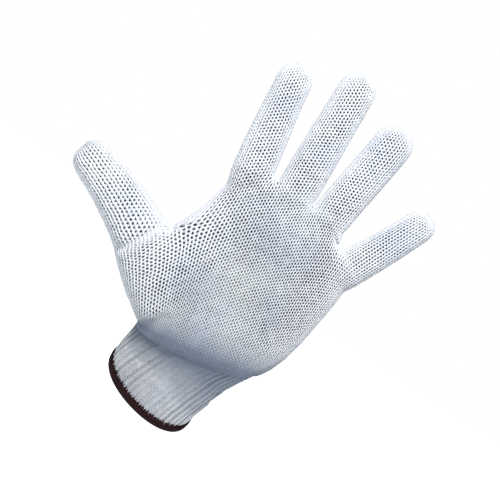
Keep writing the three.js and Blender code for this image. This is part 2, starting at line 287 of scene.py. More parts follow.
class Lattice:
    """All stitches of the glove, as points that share their neighbours across the seams."""

    CROSSWISE = 0.16
    LENGTHWISE = 1.1
    STEP = 0.8  # share of the way to its neighbours' mean that a point moves at once

    def __init__(self) -> None:
        """Start an empty lattice."""
        self.count = 0
        self.points = np.zeros((0, 3))
        self.fixed = np.zeros(0, dtype=bool)
        self.patches: dict[str, Patch] = {}

    def add(self, name: str, points: np.ndarray, gauge: Gauge, skin: Skin) -> Patch:
        """Add a tube.

        Args:
            name: what it is called.
            points: its first places, rows by columns by three.
            gauge: how it is knitted.
            skin: what it lies on.

        Returns:
            The new patch.
        """
        rows, columns = points.shape[:2]
        grid = np.arange(self.count, self.count + rows * columns).reshape(rows, columns)
        self.count += rows * columns
        self.points = np.vstack([self.points, points.reshape(-1, 3)])
        self.fixed = np.concatenate([self.fixed, np.zeros(rows * columns, dtype=bool)])
        patch = Patch(name, grid, gauge, skin, last=rows)
        self.patches[name] = patch
        return patch

    def pin(self, number: int, place: np.ndarray) -> None:
        """Hold one point at a place."""
        self.points[number] = place
        self.fixed[number] = True

    def relax(self, names: list[str], rounds: int) -> None:
        """Even out the stitches as pulled yarn does, keeping them on the skin.

        Args:
            names: the patches that may move.
            rounds: how many times every point moves.
        """
        here, there, pull = [], [], []
        for name in names:
            patch = self.patches[name]
            lengthwise = self.LENGTHWISE / patch.gauge.course
            weights = (self.CROSSWISE, self.CROSSWISE, lengthwise, lengthwise)
            for other, weight in zip(patch.around, weights):
                here.append(patch.grid.ravel())
                there.append(other.ravel())
                pull.append(np.full(patch.grid.size, weight))
        here, there, pull = (np.concatenate(part) for part in (here, there, pull))
        total = np.bincount(here, pull, self.count)
        free = {
            name: ids[~self.fixed[ids]]
            for name in names
            for ids in [self.patches[name].grid.ravel()]
        }
        moving = np.concatenate(list(free.values()))
        for _ in range(rounds):
            mean = np.stack(
                [np.bincount(here, pull * self.points[there, k], self.count) for k in range(3)], axis=1
            )
            pulled = mean[moving] / total[moving, None]
            self.points[moving] += (pulled - self.points[moving]) * self.STEP
            for name, ids in free.items():
                self.points[ids] = self.patches[name].skin.nearest(self.points[ids])

    def settle(self, names: list[str], rounds: int) -> None:
        """Smooth out the facets of the skin below some patches.

        Args:
            names: the patches.
            rounds: how many times every point moves towards its neighbours.
        """
        for _ in range(rounds):
            moved = self.points.copy()
            for name in names:
                patch = self.patches[name]
                total = sum(self.points[other] for other in patch.around)
                moved[patch.grid] = (self.points[patch.grid] + total / 4) / 2
            free = ~self.fixed
            self.points[free] = moved[free]

    def normals(self) -> np.ndarray:
        """Outward direction at every point."""
        found = np.zeros_like(self.points)
        for patch in self.patches.values():
            before, after, below, above = (self.points[other] for other in patch.around)
            found[patch.grid] = unit(np.cross(after - before, above - below))
        return found


def ring_angles(columns: int) -> np.ndarray:
    """Angles of the columns round a tube, from its left by its front and right to its back."""
    return math.pi + (np.arange(2 * columns) + 0.5) * math.pi / columns


def catmull(s: np.ndarray) -> list[np.ndarray]:
    """Weights of four neighbours for a smooth curve between the middle two."""
    return [
        (-s**3 + 2 * s**2 - s) / 2,
        (3 * s**3 - 5 * s**2 + 2) / 2,
        (-3 * s**3 + 4 * s**2 + s) / 2,
        (s**3 - s**2) / 2,
    ]


def between(values: np.ndarray, u: np.ndarray, v: np.ndarray) -> np.ndarray:
    """Read a lattice between its points.

    Args:
        values: rows by columns by numbers, with two more rows at each end.
        u: column, which wraps round.
        v: row, where 0 is the first after the two extra ones.

    Returns:
        The numbers at those places.
    """
    rows, columns = values.shape[:2]
    left = np.floor(u).astype(int)
    low = np.floor(v).astype(int)
    across = catmull(u - left)
    along = catmull(v - low)
    total = 0.0
    for i, weight_v in enumerate(along):
        row = np.clip(low + i - 1 + 2, 0, rows - 1)
        for j, weight_u in enumerate(across):
            column = (left + j - 1) % columns
            total = total + values[row, column] * (weight_u * weight_v)[..., None]
    return total


class Hand:
    """The lattice of the whole glove, from the cuff's edge to the fingertips."""

    CUFF_COLUMNS = 45
    CUFF_ROWS = 26
    HIDDEN = 2  # rows past a tube's end that only guide its last loops
    HEEL_ROWS = 33
    KNUCKLE_ROWS = 12
    BRIDGE_ROWS = 4
    CUFF_TILT = 32.0
    HEM_ROLL = 10.0
    TOP_TILT = 20.0
    TOP_ROLL = 13.0
    CUFF_LENGTH = 46.0
    HEM_INSET = 1.3
    HEM_DROP = 5.0  # how much lower the opening's edge hangs on the little finger's side
    TOP_SHIFT = 8.1
    SHIFT_BEND = 1.5
    SPIKES = 240  # rays round the cuff that find its outline
    SMOOTHING = 12  # neighbours over which the outline's ribs are evened out
    ROUNDS = 170
    SETTLING = 2
    CROTCH_HALF = 0.6
    CROTCH_DEPTH = 2.2
    CROTCH_RISE = 0.4
    WEB_REACH = 30.0  # how far out the search for a web starts
    DOME = 0.9  # length of a tip's dome for half the digit's width
    FLATNESS = 0.86  # depth of a digit for its width
    SWELL_END = 0.5  # share of a digit's length over which its root's swelling goes
    TIP_LINE = 0.5  # length of the line that closes a tip, for the tip's width
    TIP_HALF = 0.5  # half the thickness of that line
    TIP_START = 0.8  # share of a digit's length from which its rows draw together to the line
    TIP_END = 0.97
    TUCK = (0.5, 1.1)  # how far the first hidden row lies under the tip, and the next one further
    TUCK_DEPTH = 0.6

    def __init__(self) -> None:
        """Lay every patch, join them and relax them."""
        self.lattice = Lattice()
        palm_skin = Skin(("palm", "thumb", "rib_cuff", *(digit.node for digit in FINGERS)))
        cuff = self.lay_cuff(Skin(("rib_cuff", "palm")))
        for digit in DIGITS:
            self.lay_digit(digit)
        self.lay_palm(palm_skin, cuff)
        self.join()
        self.pin_crotches()
        names = [name for name in self.lattice.patches if name != "rib_cuff"]
        self.lattice.relax(names, self.ROUNDS)
        self.lattice.settle(names, self.SETTLING)
        LOG.info("lattice of %d stitches", self.lattice.count)

    def cuff_plane(self, share: float) -> tuple[np.ndarray, Matrix]:
        """Centre and turn of the cuff's ring.

        Args:
            share: 0 at the opening and 1 where the ribs end.

        Returns:
            The ring's centre, and the rotation of its plane.
        """
        slope = math.radians(self.CUFF_TILT)
        top = np.array([0.0, -self.CUFF_LENGTH * math.sin(slope), self.CUFF_LENGTH * math.cos(slope)])
        centre = top * share + np.array([self.TOP_SHIFT * share**self.SHIFT_BEND, 0.0, 0.0])
        tilt = math.radians(self.CUFF_TILT + (self.TOP_TILT - self.CUFF_TILT) * share)
        roll = math.radians(self.HEM_ROLL - (self.HEM_ROLL + self.TOP_ROLL) * share)
        return centre, Matrix.Rotation(roll, 3, "Y") @ Matrix.Rotation(tilt, 3, "X")

    def cuff_ring(self, skin: Skin, share: float) -> np.ndarray:
        """Evenly spaced places round the cuff, from its left by its front.

        Args:
            skin: the cuff's outer faces.
            share: 0 at the opening and 1 where the ribs end.

        Returns:
            A place for each column.
        """
        centre, turn = self.cuff_plane(share)
        steps = np.arange(self.SPIKES)
        angles = [math.pi + 2 * math.pi * k / self.SPIKES for k in range(self.SPIKES)]
        rays = np.array([turn @ Vector((math.cos(a), math.sin(a), 0.0)) for a in angles])
        hits = [skin.meets(centre, ray) for ray in rays]
        reach = np.array([np.nan if hit is None else np.linalg.norm(hit - centre) for hit in hits])
        good = ~np.isnan(reach)
        reach = np.interp(steps, steps[good], reach[good], period=self.SPIKES)
        spread = np.ones(self.SMOOTHING) / self.SMOOTHING
        padded = np.concatenate([reach[-self.SMOOTHING :], reach, reach[: self.SMOOTHING]])
        reach = np.convolve(padded, spread, mode="same")[self.SMOOTHING : -self.SMOOTHING]
        ring = centre + rays * reach[:, None]
        closed = np.vstack([ring, ring[:1]])
        length = np.concatenate([[0], np.cumsum(np.linalg.norm(np.diff(closed, axis=0), axis=1))])
        columns = 2 * self.CUFF_COLUMNS
        places = (np.arange(columns) + 0.5) / columns * length[-1]
        return np.stack([np.interp(places, length, closed[:, k]) for k in range(3)], axis=1)

    def lay_cuff(self, skin: Skin) -> Patch:
        """Lay the cuff's rows from the hidden ones in its edge up to the wrist."""
        total = self.CUFF_ROWS + self.HIDDEN
        start = self.HEM_INSET / self.CUFF_LENGTH
        shares = start + (np.arange(total) - self.HIDDEN + 0.5) / self.CUFF_ROWS * (1 - start)
        points = np.array([self.cuff_ring(skin, max(share, start)) for share in shares])
        drop = points[self.HIDDEN + 1] - points[self.HIDDEN]
        for row in range(self.HIDDEN):
            points[row] = points[self.HIDDEN] - drop * (self.HIDDEN - row)
        down = unit(self.cuff_plane(0.0)[0] - self.cuff_plane(1.0)[0])
        edge = points[self.HIDDEN, :, 0]
        rightness = (points[..., 0] - edge.min()) / np.ptp(edge)
        hang = np.clip(rightness, 0, 1) * (1 - np.clip(shares, 0, 1))[:, None] * self.HEM_DROP
        points = points + down * hang[..., None]
        patch = self.lattice.add("rib_cuff", points, CUFF_GAUGE, skin)
        patch.first = self.HIDDEN
        self.lattice.fixed[patch.grid] = True
        return patch

    def digit_point(self, digit: Digit, angle: float, share: float) -> np.ndarray:
        """A first place on a finger.

        Args:
            digit: the finger.
            angle: round it, from its side.
            share: of the way from its root to its tip.

        Returns:
            A point near its skin.
        """
        distance = digit.length * share
        swell = digit.root_swell + (1 - digit.root_swell) * min(1.0, share / self.SWELL_END)
        half = digit.width / 2 * swell
        dome = digit.length - half * self.DOME
        shrink = 1.0
        if distance > dome:
            shrink = math.sqrt(max(0.0, 1 - ((distance - dome) / (digit.length - dome)) ** 2))
        offset = digit.across(distance) * math.cos(angle) * half * shrink
        offset = offset - PALMWARD * math.sin(angle) * half * self.FLATNESS * shrink
        return digit.centre(distance) + offset

    def lay_digit(self, digit: Digit) -> None:
        """Lay a finger or the thumb, whose tip closes along a line."""
        columns = digit.columns
        panels = np.where(np.arange(2 * columns) < columns, Side.FRONT.value, Side.BACK.value)
        angles = ring_angles(columns)
        tip_half = digit.width / 2 * self.TIP_LINE
        skin = Skin((digit.node, "palm"))
        ahead = digit.along(digit.length)
        total = digit.rows + self.HIDDEN
        points = np.zeros((total, 2 * columns, 3))
        line = np.zeros((2 * columns, 3))
        for c in range(2 * columns):
            place = c if c < columns else 2 * columns - 1 - c
            across = ((place + 0.5) / columns * 2 - 1) * tip_half
            line[c] = digit.centre(digit.length) + digit.across(digit.length) * across
            line[c] += np.array([0.0, panels[c] * self.TIP_HALF, 0.0]) + ahead
        line = skin.nearest(line)
        for r in range(total):
            share = min(r / (digit.rows - 1), 1.0)
            blend = max(0.0, (share - self.TIP_START) / (1 - self.TIP_START)) ** 2
            for c in range(2 * columns):
                base = self.digit_point(digit, angles[c], min(share, self.TIP_END))
                points[r, c] = base * (1 - blend) + line[c] * blend
        for extra in range(self.HIDDEN):
            points[digit.rows + extra] = line - ahead * (self.TUCK[0] + self.TUCK[1] * extra)
            points[digit.rows + extra, :, 1] -= panels * self.TUCK_DEPTH
        gauge = THUMB_GAUGE if digit is THUMB else FINGER_GAUGE
        patch = self.lattice.add(digit.node, points, gauge, skin)
        patch.last = digit.rows
        self.lattice.fixed[patch.grid[digit.rows - 1 :]] = True

    def front_and_back(self, digits: tuple[Digit, ...], row: int) -> np.ndarray:
        """One row of neighbouring fingers, along their fronts and then along their backs."""
        rows = [(self.lattice.patches[digit.node].grid[row], digit.columns) for digit in digits]
        fronts = [numbers[:columns] for numbers, columns in rows]
        return np.concatenate(fronts + [numbers[columns:] for numbers, columns in reversed(rows)])

    def lay_palm(self, skin: Skin, cuff: Patch) -> None:
        """Lay the heel, the knuckles and the bridge below the three long fingers."""
        at = self.lattice.points
        low = at[cuff.grid[-1]]
        top = at[self.front_and_back(FINGERS, 0)]
        share = THUMB.columns
        palm_low = low[share:-share]
        rows = self.HEEL_ROWS + self.KNUCKLE_ROWS + self.BRIDGE_ROWS
        rise = ((np.arange(rows) + 1) / (rows + 1))[:, None, None]
        body = palm_low[None] * (1 - rise) + top[None] * rise
        little_rows = (np.arange(rows) + 1)[:, None, None] / (self.HEEL_ROWS + self.KNUCKLE_ROWS + 1)
        little_columns = np.zeros(top.shape[0], dtype=bool)
        left = sum(digit.columns for digit in LONG_FINGERS)
        little_columns[left : left + 2 * LITTLE.columns] = True
        lower = palm_low[None] * (1 - little_rows) + top[None] * little_rows
        body[:, little_columns] = lower[:, little_columns]
        thumb = self.lattice.patches["thumb"].grid[0]
        climb = ((np.arange(self.HEEL_ROWS) + 1) / (self.HEEL_ROWS + 1))[:, None, None]
        ball_front = low[None, :share] * (1 - climb) + at[thumb[:share]][None] * climb
        ball_back = low[None, -share:] * (1 - climb) + at[thumb[share:]][None] * climb
        heel = np.concatenate([ball_front, body[: self.HEEL_ROWS], ball_back], axis=1)
        upper = body[self.HEEL_ROWS : self.HEEL_ROWS + self.KNUCKLE_ROWS]
        bridge = body[self.HEEL_ROWS + self.KNUCKLE_ROWS :][:, ~little_columns]
        for name, points in (("heel", heel), ("knuckles", upper), ("bridge", bridge)):
            self.lattice.add(name, points, PALM_GAUGE, skin)

    def join(self) -> None:
        """Say which rows each patch grows out of and into."""
        patches = self.lattice.patches
        p = {name: patch.grid for name, patch in patches.items()}
        share = THUMB.columns
        three = sum(digit.columns for digit in LONG_FINGERS)
        little = LITTLE.columns
        heel, knuckles, bridge = patches["heel"], patches["knuckles"], patches["bridge"]
        thumbs, bridges, ends = p["thumb"][:2], p["bridge"][:2], p["little_finger"][:2]
        patches["rib_cuff"].below = p["rib_cuff"][[0, 0]]
        patches["rib_cuff"].above = p["heel"][:2]
        heel.below = p["rib_cuff"][-2:]
        heel.above = np.hstack([thumbs[:, :share], p["knuckles"][:2], thumbs[:, share:]])
        knuckles.below = p["heel"][-2:, share:-share]
        knuckles.above = np.hstack([bridges[:, :three], ends, bridges[:, three:]])
        kept = np.r_[0:three, three + 2 * little : 2 * three + 2 * little]
        bridge.below = p["knuckles"][-2:][:, kept]
        bridge.above = np.stack([self.front_and_back(LONG_FINGERS, row) for row in (0, 1)])
        start = 0
        for digit in LONG_FINGERS:
            left = np.arange(start, start + digit.columns)
            right = 2 * three - 1 - left[::-1]
            patches[digit.node].below = p["bridge"][-2:][:, np.concatenate([left, right])]
            start += digit.columns
        patches["little_finger"].below = p["knuckles"][-2:, three : three + 2 * little]
        ball = np.r_[0:share, 2 * self.CUFF_COLUMNS - share : 2 * self.CUFF_COLUMNS]
        patches["thumb"].below = p["heel"][-2:][:, ball]
        for digit in DIGITS:
            patches[digit.node].above = p[digit.node][[-1, -1]]

    def pin_crotches(self) -> None:
        """Hold the stitches on both sides of every crotch and of the thumb's web."""
        grids = {name: patch.grid for name, patch in self.lattice.patches.items()}
        for left, right in zip(FINGERS, FINGERS[1:]):
            middle = (left.corner(1) + right.corner(-1)) / 2
            if right is LITTLE:
                middle = self.web_between(left, right, middle)
            self.pin_pair(grids[left.node][0], left.columns - 1, middle, left.axis, -1)
            self.pin_pair(grids[right.node][0], 2 * right.columns - 1, middle, right.axis, 1)
        web = self.web_between(THUMB, INDEX, np.array([THUMB_WEB[0], HAND_PLANE, THUMB_WEB[1]]))
        self.pin_pair(grids["thumb"][0], THUMB.columns - 1, web, THUMB.axis, -1)
        upper = grids["knuckles"][0]
        self.pin_pair(upper, upper.size - 1, web, np.array([0.0, 0.0, 1.0]), 1)

    def web_between(self, left: Digit, right: Digit, inside: np.ndarray) -> np.ndarray:
        """Bottom of the hollow between two digits.

        Args:
            left: the digit on its left.
            right: the one on its right.
            inside: a place just under it.

        Returns:
            Where the skin lies there.
        """
        away = unit(left.axis + right.axis)
        found = self.lattice.patches["heel"].skin.meets(inside + away * self.WEB_REACH, -away)
        LOG.info("web by the %s: %s", right.node, found)
        return inside if found is None else found

    def pin_pair(self, row: np.ndarray, first: int, place: np.ndarray, up: np.ndarray, sign: int) -> None:
        """Hold the front and back stitch at one side of a crotch.

        Args:
            row: the tube's lowest row.
            first: the column there whose next one lies on the other panel.
            place: the crotch's bottom.
            up: direction of the tube.
            sign: -1 for the tube on the left, 1 for the one on the right.
        """
        side = np.array([up[2], 0.0, -up[0]])
        for step in (0, 1):
            column = (first + step) % row.size
            panel = Side.FRONT if column < row.size // 2 else Side.BACK
            offset = side * sign * self.CROTCH_HALF + up * self.CROTCH_RISE
            offset = offset + np.array([0.0, panel.value * self.CROTCH_DEPTH, 0.0])
            self.lattice.pin(int(row[column]), place + offset)


def add_object(name: str, data: bpy.types.ID) -> bpy.types.Object:
    """Put a new object with this data into the scene, at the origin."""
    made = bpy.data.objects.new(name, data)
    bpy.context.scene.collection.objects.link(made)
    return made


def store(mesh: bpy.types.Mesh, name: str, values: np.ndarray) -> None:
    """Put one number or one direction for each point on the mesh."""
    kind, key = ("FLOAT", "value") if values.ndim == 1 else ("FLOAT_VECTOR", "vector")
    mesh.attributes.new(name, kind, "POINT").data.foreach_set(key, values.astype(np.float32).ravel())


def lay_map(mesh: bpy.types.Mesh, name: str, places: np.ndarray) -> None:
    """Write one UV map, a pair of numbers for every face corner."""
    layer = mesh.uv_layers.new(name=name, do_init=False)
    layer.uv.foreach_set("vector", places.astype(np.float32).ravel())


def add_sockets(
    tree: bpy.types.NodeTree, inputs: dict[str, str], output: tuple[str, str]
) -> dict[str, bpy.types.NodeTreeInterfaceSocket]:
    """Name what goes into a tree and what comes out.

    Args:
        tree: the node tree.
        inputs: kind of each input by its name.
        output: name and kind of the output.

    Returns:
        The inputs by name.
    """
    made = {}
    for name, kind in inputs.items():
        made[name] = tree.interface.new_socket(name=name, in_out="INPUT", socket_type="NodeSocket" + kind)
    tree.interface.new_socket(name=output[0], in_out="OUTPUT", socket_type="NodeSocket" + output[1])
    return made


class Shade:
    """Small helpers that build node trees."""

    def __init__(self, tree: bpy.types.NodeTree) -> None:
        """Work on one tree."""
        self.tree = tree

    def node(self, kind: str, **settings: object) -> bpy.types.Node:
        """Add a node and set its properties."""
        made = self.tree.nodes.new(kind)
        for key, value in settings.items():
            setattr(made, key, value)
        return made

    def ends(self) -> tuple[bpy.types.Node, bpy.types.Node]:
        """The input and the output node of a group."""
        return self.node("NodeGroupInput"), self.node("NodeGroupOutput")

    def feed(self, socket: bpy.types.NodeSocket, value: object) -> None:
        """Give a socket another socket's value, or a number or colour."""
        if isinstance(value, bpy.types.NodeSocket):
            self.tree.links.new(value, socket)
        elif isinstance(value, tuple):
            socket.default_value = (*value, 1.0)
        else:
            socket.default_value = value

    def math(self, operation: str, a: object, b: object = 0.0) -> bpy.types.NodeSocket:
        """A Math node's result; its inputs are numbers or sockets."""
        made = self.node("ShaderNodeMath", operation=operation)
        self.feed(made.inputs[0], a)
        self.feed(made.inputs[1], b)
        return made.outputs[0]

    def mix(self, share: bpy.types.NodeSocket, first: object, second: object) -> bpy.types.NodeSocket:
        """A mix of two colours, each given by its parts or by a socket."""
        made = self.node("ShaderNodeMix", data_type="RGBA")
        self.feed(made.inputs[0], share)
        for socket, value in zip((s for s in made.inputs if s.type == "RGBA"), (first, second)):
            self.feed(socket, value)
        return next(s for s in made.outputs if s.type == "RGBA")

    def ramp(
        self, value: bpy.types.NodeSocket, ends: dict[str, float], kind: str = "LINEAR"
    ) -> bpy.types.NodeSocket:
        """A Map Range node's result, with some of its ends set by name."""
        made = self.node("ShaderNodeMapRange", interpolation_type=kind)
        for name, number in ends.items():
            made.inputs[name].default_value = number
        self.feed(made.inputs["Value"], value)
        return made.outputs["Result"]

    def noise(
        self, place: bpy.types.NodeSocket, scale: object, detail: float = 2.0, roughness: float = 0.5
    ) -> bpy.types.NodeSocket:
        """A Noise Texture's value."""
        made = self.node("ShaderNodeTexNoise")
        values = {"Vector": place, "Scale": scale, "Detail": detail, "Roughness": roughness}
        for name, value in values.items():
            self.feed(made.inputs[name], value)
        return made.outputs["Fac"]

    def attribute(self, name: str, output: str = "Fac") -> bpy.types.NodeSocket:
        """A mesh attribute's value."""
        made = self.node("ShaderNodeAttribute", attribute_type="GEOMETRY", attribute_name=name)
        return made.outputs[output]


class YarnSweep:
    """The Geometry Nodes tree that sweeps yarn round its path."""

    INPUTS = {
        "Path": "Geometry",
        "Yarn Radius": "Float",
        "Sides": "Int",
        "Slub": "Float",
        "Seed": "Int",
        "Material": "Material",
    }

    def __init__(self) -> None:
        """Build the tree with its named inputs."""
        self.tree = bpy.data.node_groups.new("yarn_sweep", "GeometryNodeTree")
        self.sockets = add_sockets(self.tree, self.INPUTS, ("Yarn", "Geometry"))
        self.wire()

    def wire(self) -> None:
        """Place and link the nodes."""
        shade = Shade(self.tree)
        start, end = shade.ends()
        slub = shade.node("FunctionNodeRandomValue", data_type="FLOAT")
        lowest, highest = [s for s in slub.inputs if s.type == "VALUE" and s.enabled][:2]
        shade.feed(lowest, shade.math("SUBTRACT", 1.0, start.outputs["Slub"]))
        shade.feed(highest, shade.math("ADD", 1.0, start.outputs["Slub"]))
        shade.feed(slub.inputs["Seed"], start.outputs["Seed"])
        share = shade.node("GeometryNodeInputNamedAttribute", data_type="FLOAT")
        share.inputs["Name"].default_value = "thickness"
        uneven = next(s for s in slub.outputs if s.enabled)
        swell = shade.math("MULTIPLY", share.outputs["Attribute"], uneven)
        radius = shade.math("MULTIPLY", swell, start.outputs["Yarn Radius"])
        circle = shade.node("GeometryNodeCurvePrimitiveCircle")
        circle.inputs["Radius"].default_value = 1.0
        shade.feed(circle.inputs["Resolution"], start.outputs["Sides"])
        index = shade.node("GeometryNodeInputIndex").outputs[0]
        mark = shade.node("GeometryNodeStoreNamedAttribute", data_type="FLOAT", domain="POINT")
        mark.inputs["Name"].default_value = "around"
        shade.feed(mark.inputs["Geometry"], circle.outputs["Curve"])
        shade.feed(mark.inputs["Value"], shade.math("DIVIDE", index, start.outputs["Sides"]))
        curve = shade.node("GeometryNodeMeshToCurve")
        sweep = shade.node("GeometryNodeCurveToMesh")
        smooth = shade.node("GeometryNodeSetShadeSmooth")
        realize = shade.node("GeometryNodeRealizeInstances")
        material = shade.node("GeometryNodeSetMaterial")
        shade.feed(curve.inputs["Mesh"], start.outputs["Path"])
        shade.feed(sweep.inputs["Curve"], curve.outputs["Curve"])
        shade.feed(sweep.inputs["Scale"], radius)
        shade.feed(sweep.inputs["Profile Curve"], mark.outputs["Geometry"])
        shade.feed(smooth.inputs["Geometry"], sweep.outputs["Mesh"])
        shade.feed(realize.inputs["Geometry"], smooth.outputs["Geometry"])
        shade.feed(material.inputs["Geometry"], realize.outputs["Geometry"])
        shade.feed(material.inputs["Material"], start.outputs["Material"])
        shade.feed(end.inputs["Yarn"], material.outputs["Geometry"])

    def make(
        self, name: str, path: "YarnPath", radius: float, sides: int, material: bpy.types.Material
    ) -> bpy.types.Object:
        """Sweep the yarn along its path into a plain mesh.

        Args:
            name: the new piece's name.
            path: the closed courses of yarn.
            radius: the yarn's radius in millimetres.
            sides: facets round the yarn.
            material: its finish.

        Returns:
            The piece, at the origin.
        """
        source = add_object(name + "_path", path.mesh())
        modifier = source.modifiers.new("yarn", "NODES")
        modifier.node_group = self.tree
        values = {
            "Yarn Radius": radius * MM,
            "Sides": sides,
            "Slub": path.slub,
            "Seed": SEED,
            "Material": material,
        }
        for key, value in values.items():
            modifier[self.sockets[key].identifier] = value
        graph = bpy.context.evaluated_depsgraph_get()
        mesh = bpy.data.meshes.new_from_object(source.evaluated_get(graph), depsgraph=graph)
        source.modifiers.clear()
        bpy.data.objects.remove(source)
        mesh.name = name
        piece = add_object(name, mesh)
        YarnMaps(mesh, path).lay()
        return piece


@dataclass
class YarnPath:
    """Closed courses of yarn, each a ring of points.

    Args:
        courses: one array of points for each course.
        outward: the fabric's outward direction at each point.
        recess_shade: 0 where the yarn lies on the fabric's face, 1 where it lies deepest; deeper yarn is
            painted darker as shade.
        fold_shadow: how deep in the wrist's crease it lies, as the strength of the painted shadow there.
        thickness: share of the yarn's radius at each point.
        slub: random share by which the yarn swells and thins.
    """

    courses: list[np.ndarray] = field(default_factory=list)
    outward: list[np.ndarray] = field(default_factory=list)
    recess_shade: list[np.ndarray] = field(default_factory=list)
    fold_shadow: list[np.ndarray] = field(default_factory=list)
    thickness: list[np.ndarray] = field(default_factory=list)
    slub: float = 0.05

    def extend(self, other: "YarnPath") -> None:
        """Add another path's courses."""
        for key in ("courses", "outward", "recess_shade", "fold_shadow", "thickness"):
            getattr(self, key).extend(getattr(other, key))

    def mesh(self) -> bpy.types.Mesh:
        """The courses as a mesh of edges that carries their values."""
        edges, along, turn, course = [], [], [], []
        start = 0
        for number, ring in enumerate(self.courses):
            size = len(ring)
            here = np.arange(size)
            edges.append(np.stack([here, (here + 1) % size], axis=1) + start)
            step = np.linalg.norm(ring - np.roll(ring, 1, axis=0), axis=1)
            step[0] = 0.0
            along.append(np.cumsum(step))
            turn.append(here / size)
            course.append(np.full(size, float(number)))
            start += size
        mesh = bpy.data.meshes.new("yarn_path")
        mesh.from_pydata((np.vstack(self.courses) * MM).tolist(), np.vstack(edges).tolist(), [])
        numbers = {
            "along": along,
            "turn": turn,
            "course": course,
            "recess_shade": self.recess_shade,
            "fold_shadow": self.fold_shadow,
            "thickness": self.thickness,
        }
        for name, values in numbers.items():
            store(mesh, name, np.concatenate(values))
        store(mesh, "outward", np.vstack(self.outward))
        return mesh


class YarnMaps:
    """The two UV maps of a swept yarn: one in real lengths, one with every course in its own strip."""

    STRIP_MARGIN = 0.06

    def __init__(self, mesh: bpy.types.Mesh, path: YarnPath) -> None:
        """Take the mesh and the path it was swept from."""
        self.mesh = mesh
        self.path = path

    def corner_values(self, name: str) -> np.ndarray:
        """A point attribute's value at every face corner."""
        values = np.zeros(len(self.mesh.vertices), dtype=np.float32)
        self.mesh.attributes[name].data.foreach_get("value", values)
        corners = np.zeros(len(self.mesh.loops), dtype=np.int32)
        self.mesh.loops.foreach_get("vertex_index", corners)
        return values[corners].reshape(-1, 4)

    def unwrap(self, name: str, span: np.ndarray | float) -> np.ndarray:
        """A value at every corner, carried past its end on faces that cross its seam."""
        values = self.corner_values(name)
        gap = values.max(axis=1, keepdims=True) - values
        return values + np.where(gap > np.asarray(span) / 2, span, 0.0)

    def lay(self) -> None:
        """Write both maps and drop the values that only they needed."""
        lengths = np.array(
            [np.linalg.norm(c - np.roll(c, 1, axis=0), axis=1).sum() for c in self.path.courses]
        )
        course = self.corner_values("course").round().astype(int)
        around = self.unwrap("around", 1.0)
        turn = self.unwrap("turn", 1.0)
        along = self.unwrap("along", lengths[course[:, :1]])
        strip = (course + self.STRIP_MARGIN + around * (1 - 2 * self.STRIP_MARGIN)) / len(lengths)
        lay_map(self.mesh, "YarnMap", np.stack([along, around], axis=2))
        lay_map(self.mesh, "OFBake", np.stack([turn, strip], axis=2))
        for name in ("course", "around", "turn", "along"):
            self.mesh.attributes.remove(self.mesh.attributes[name])


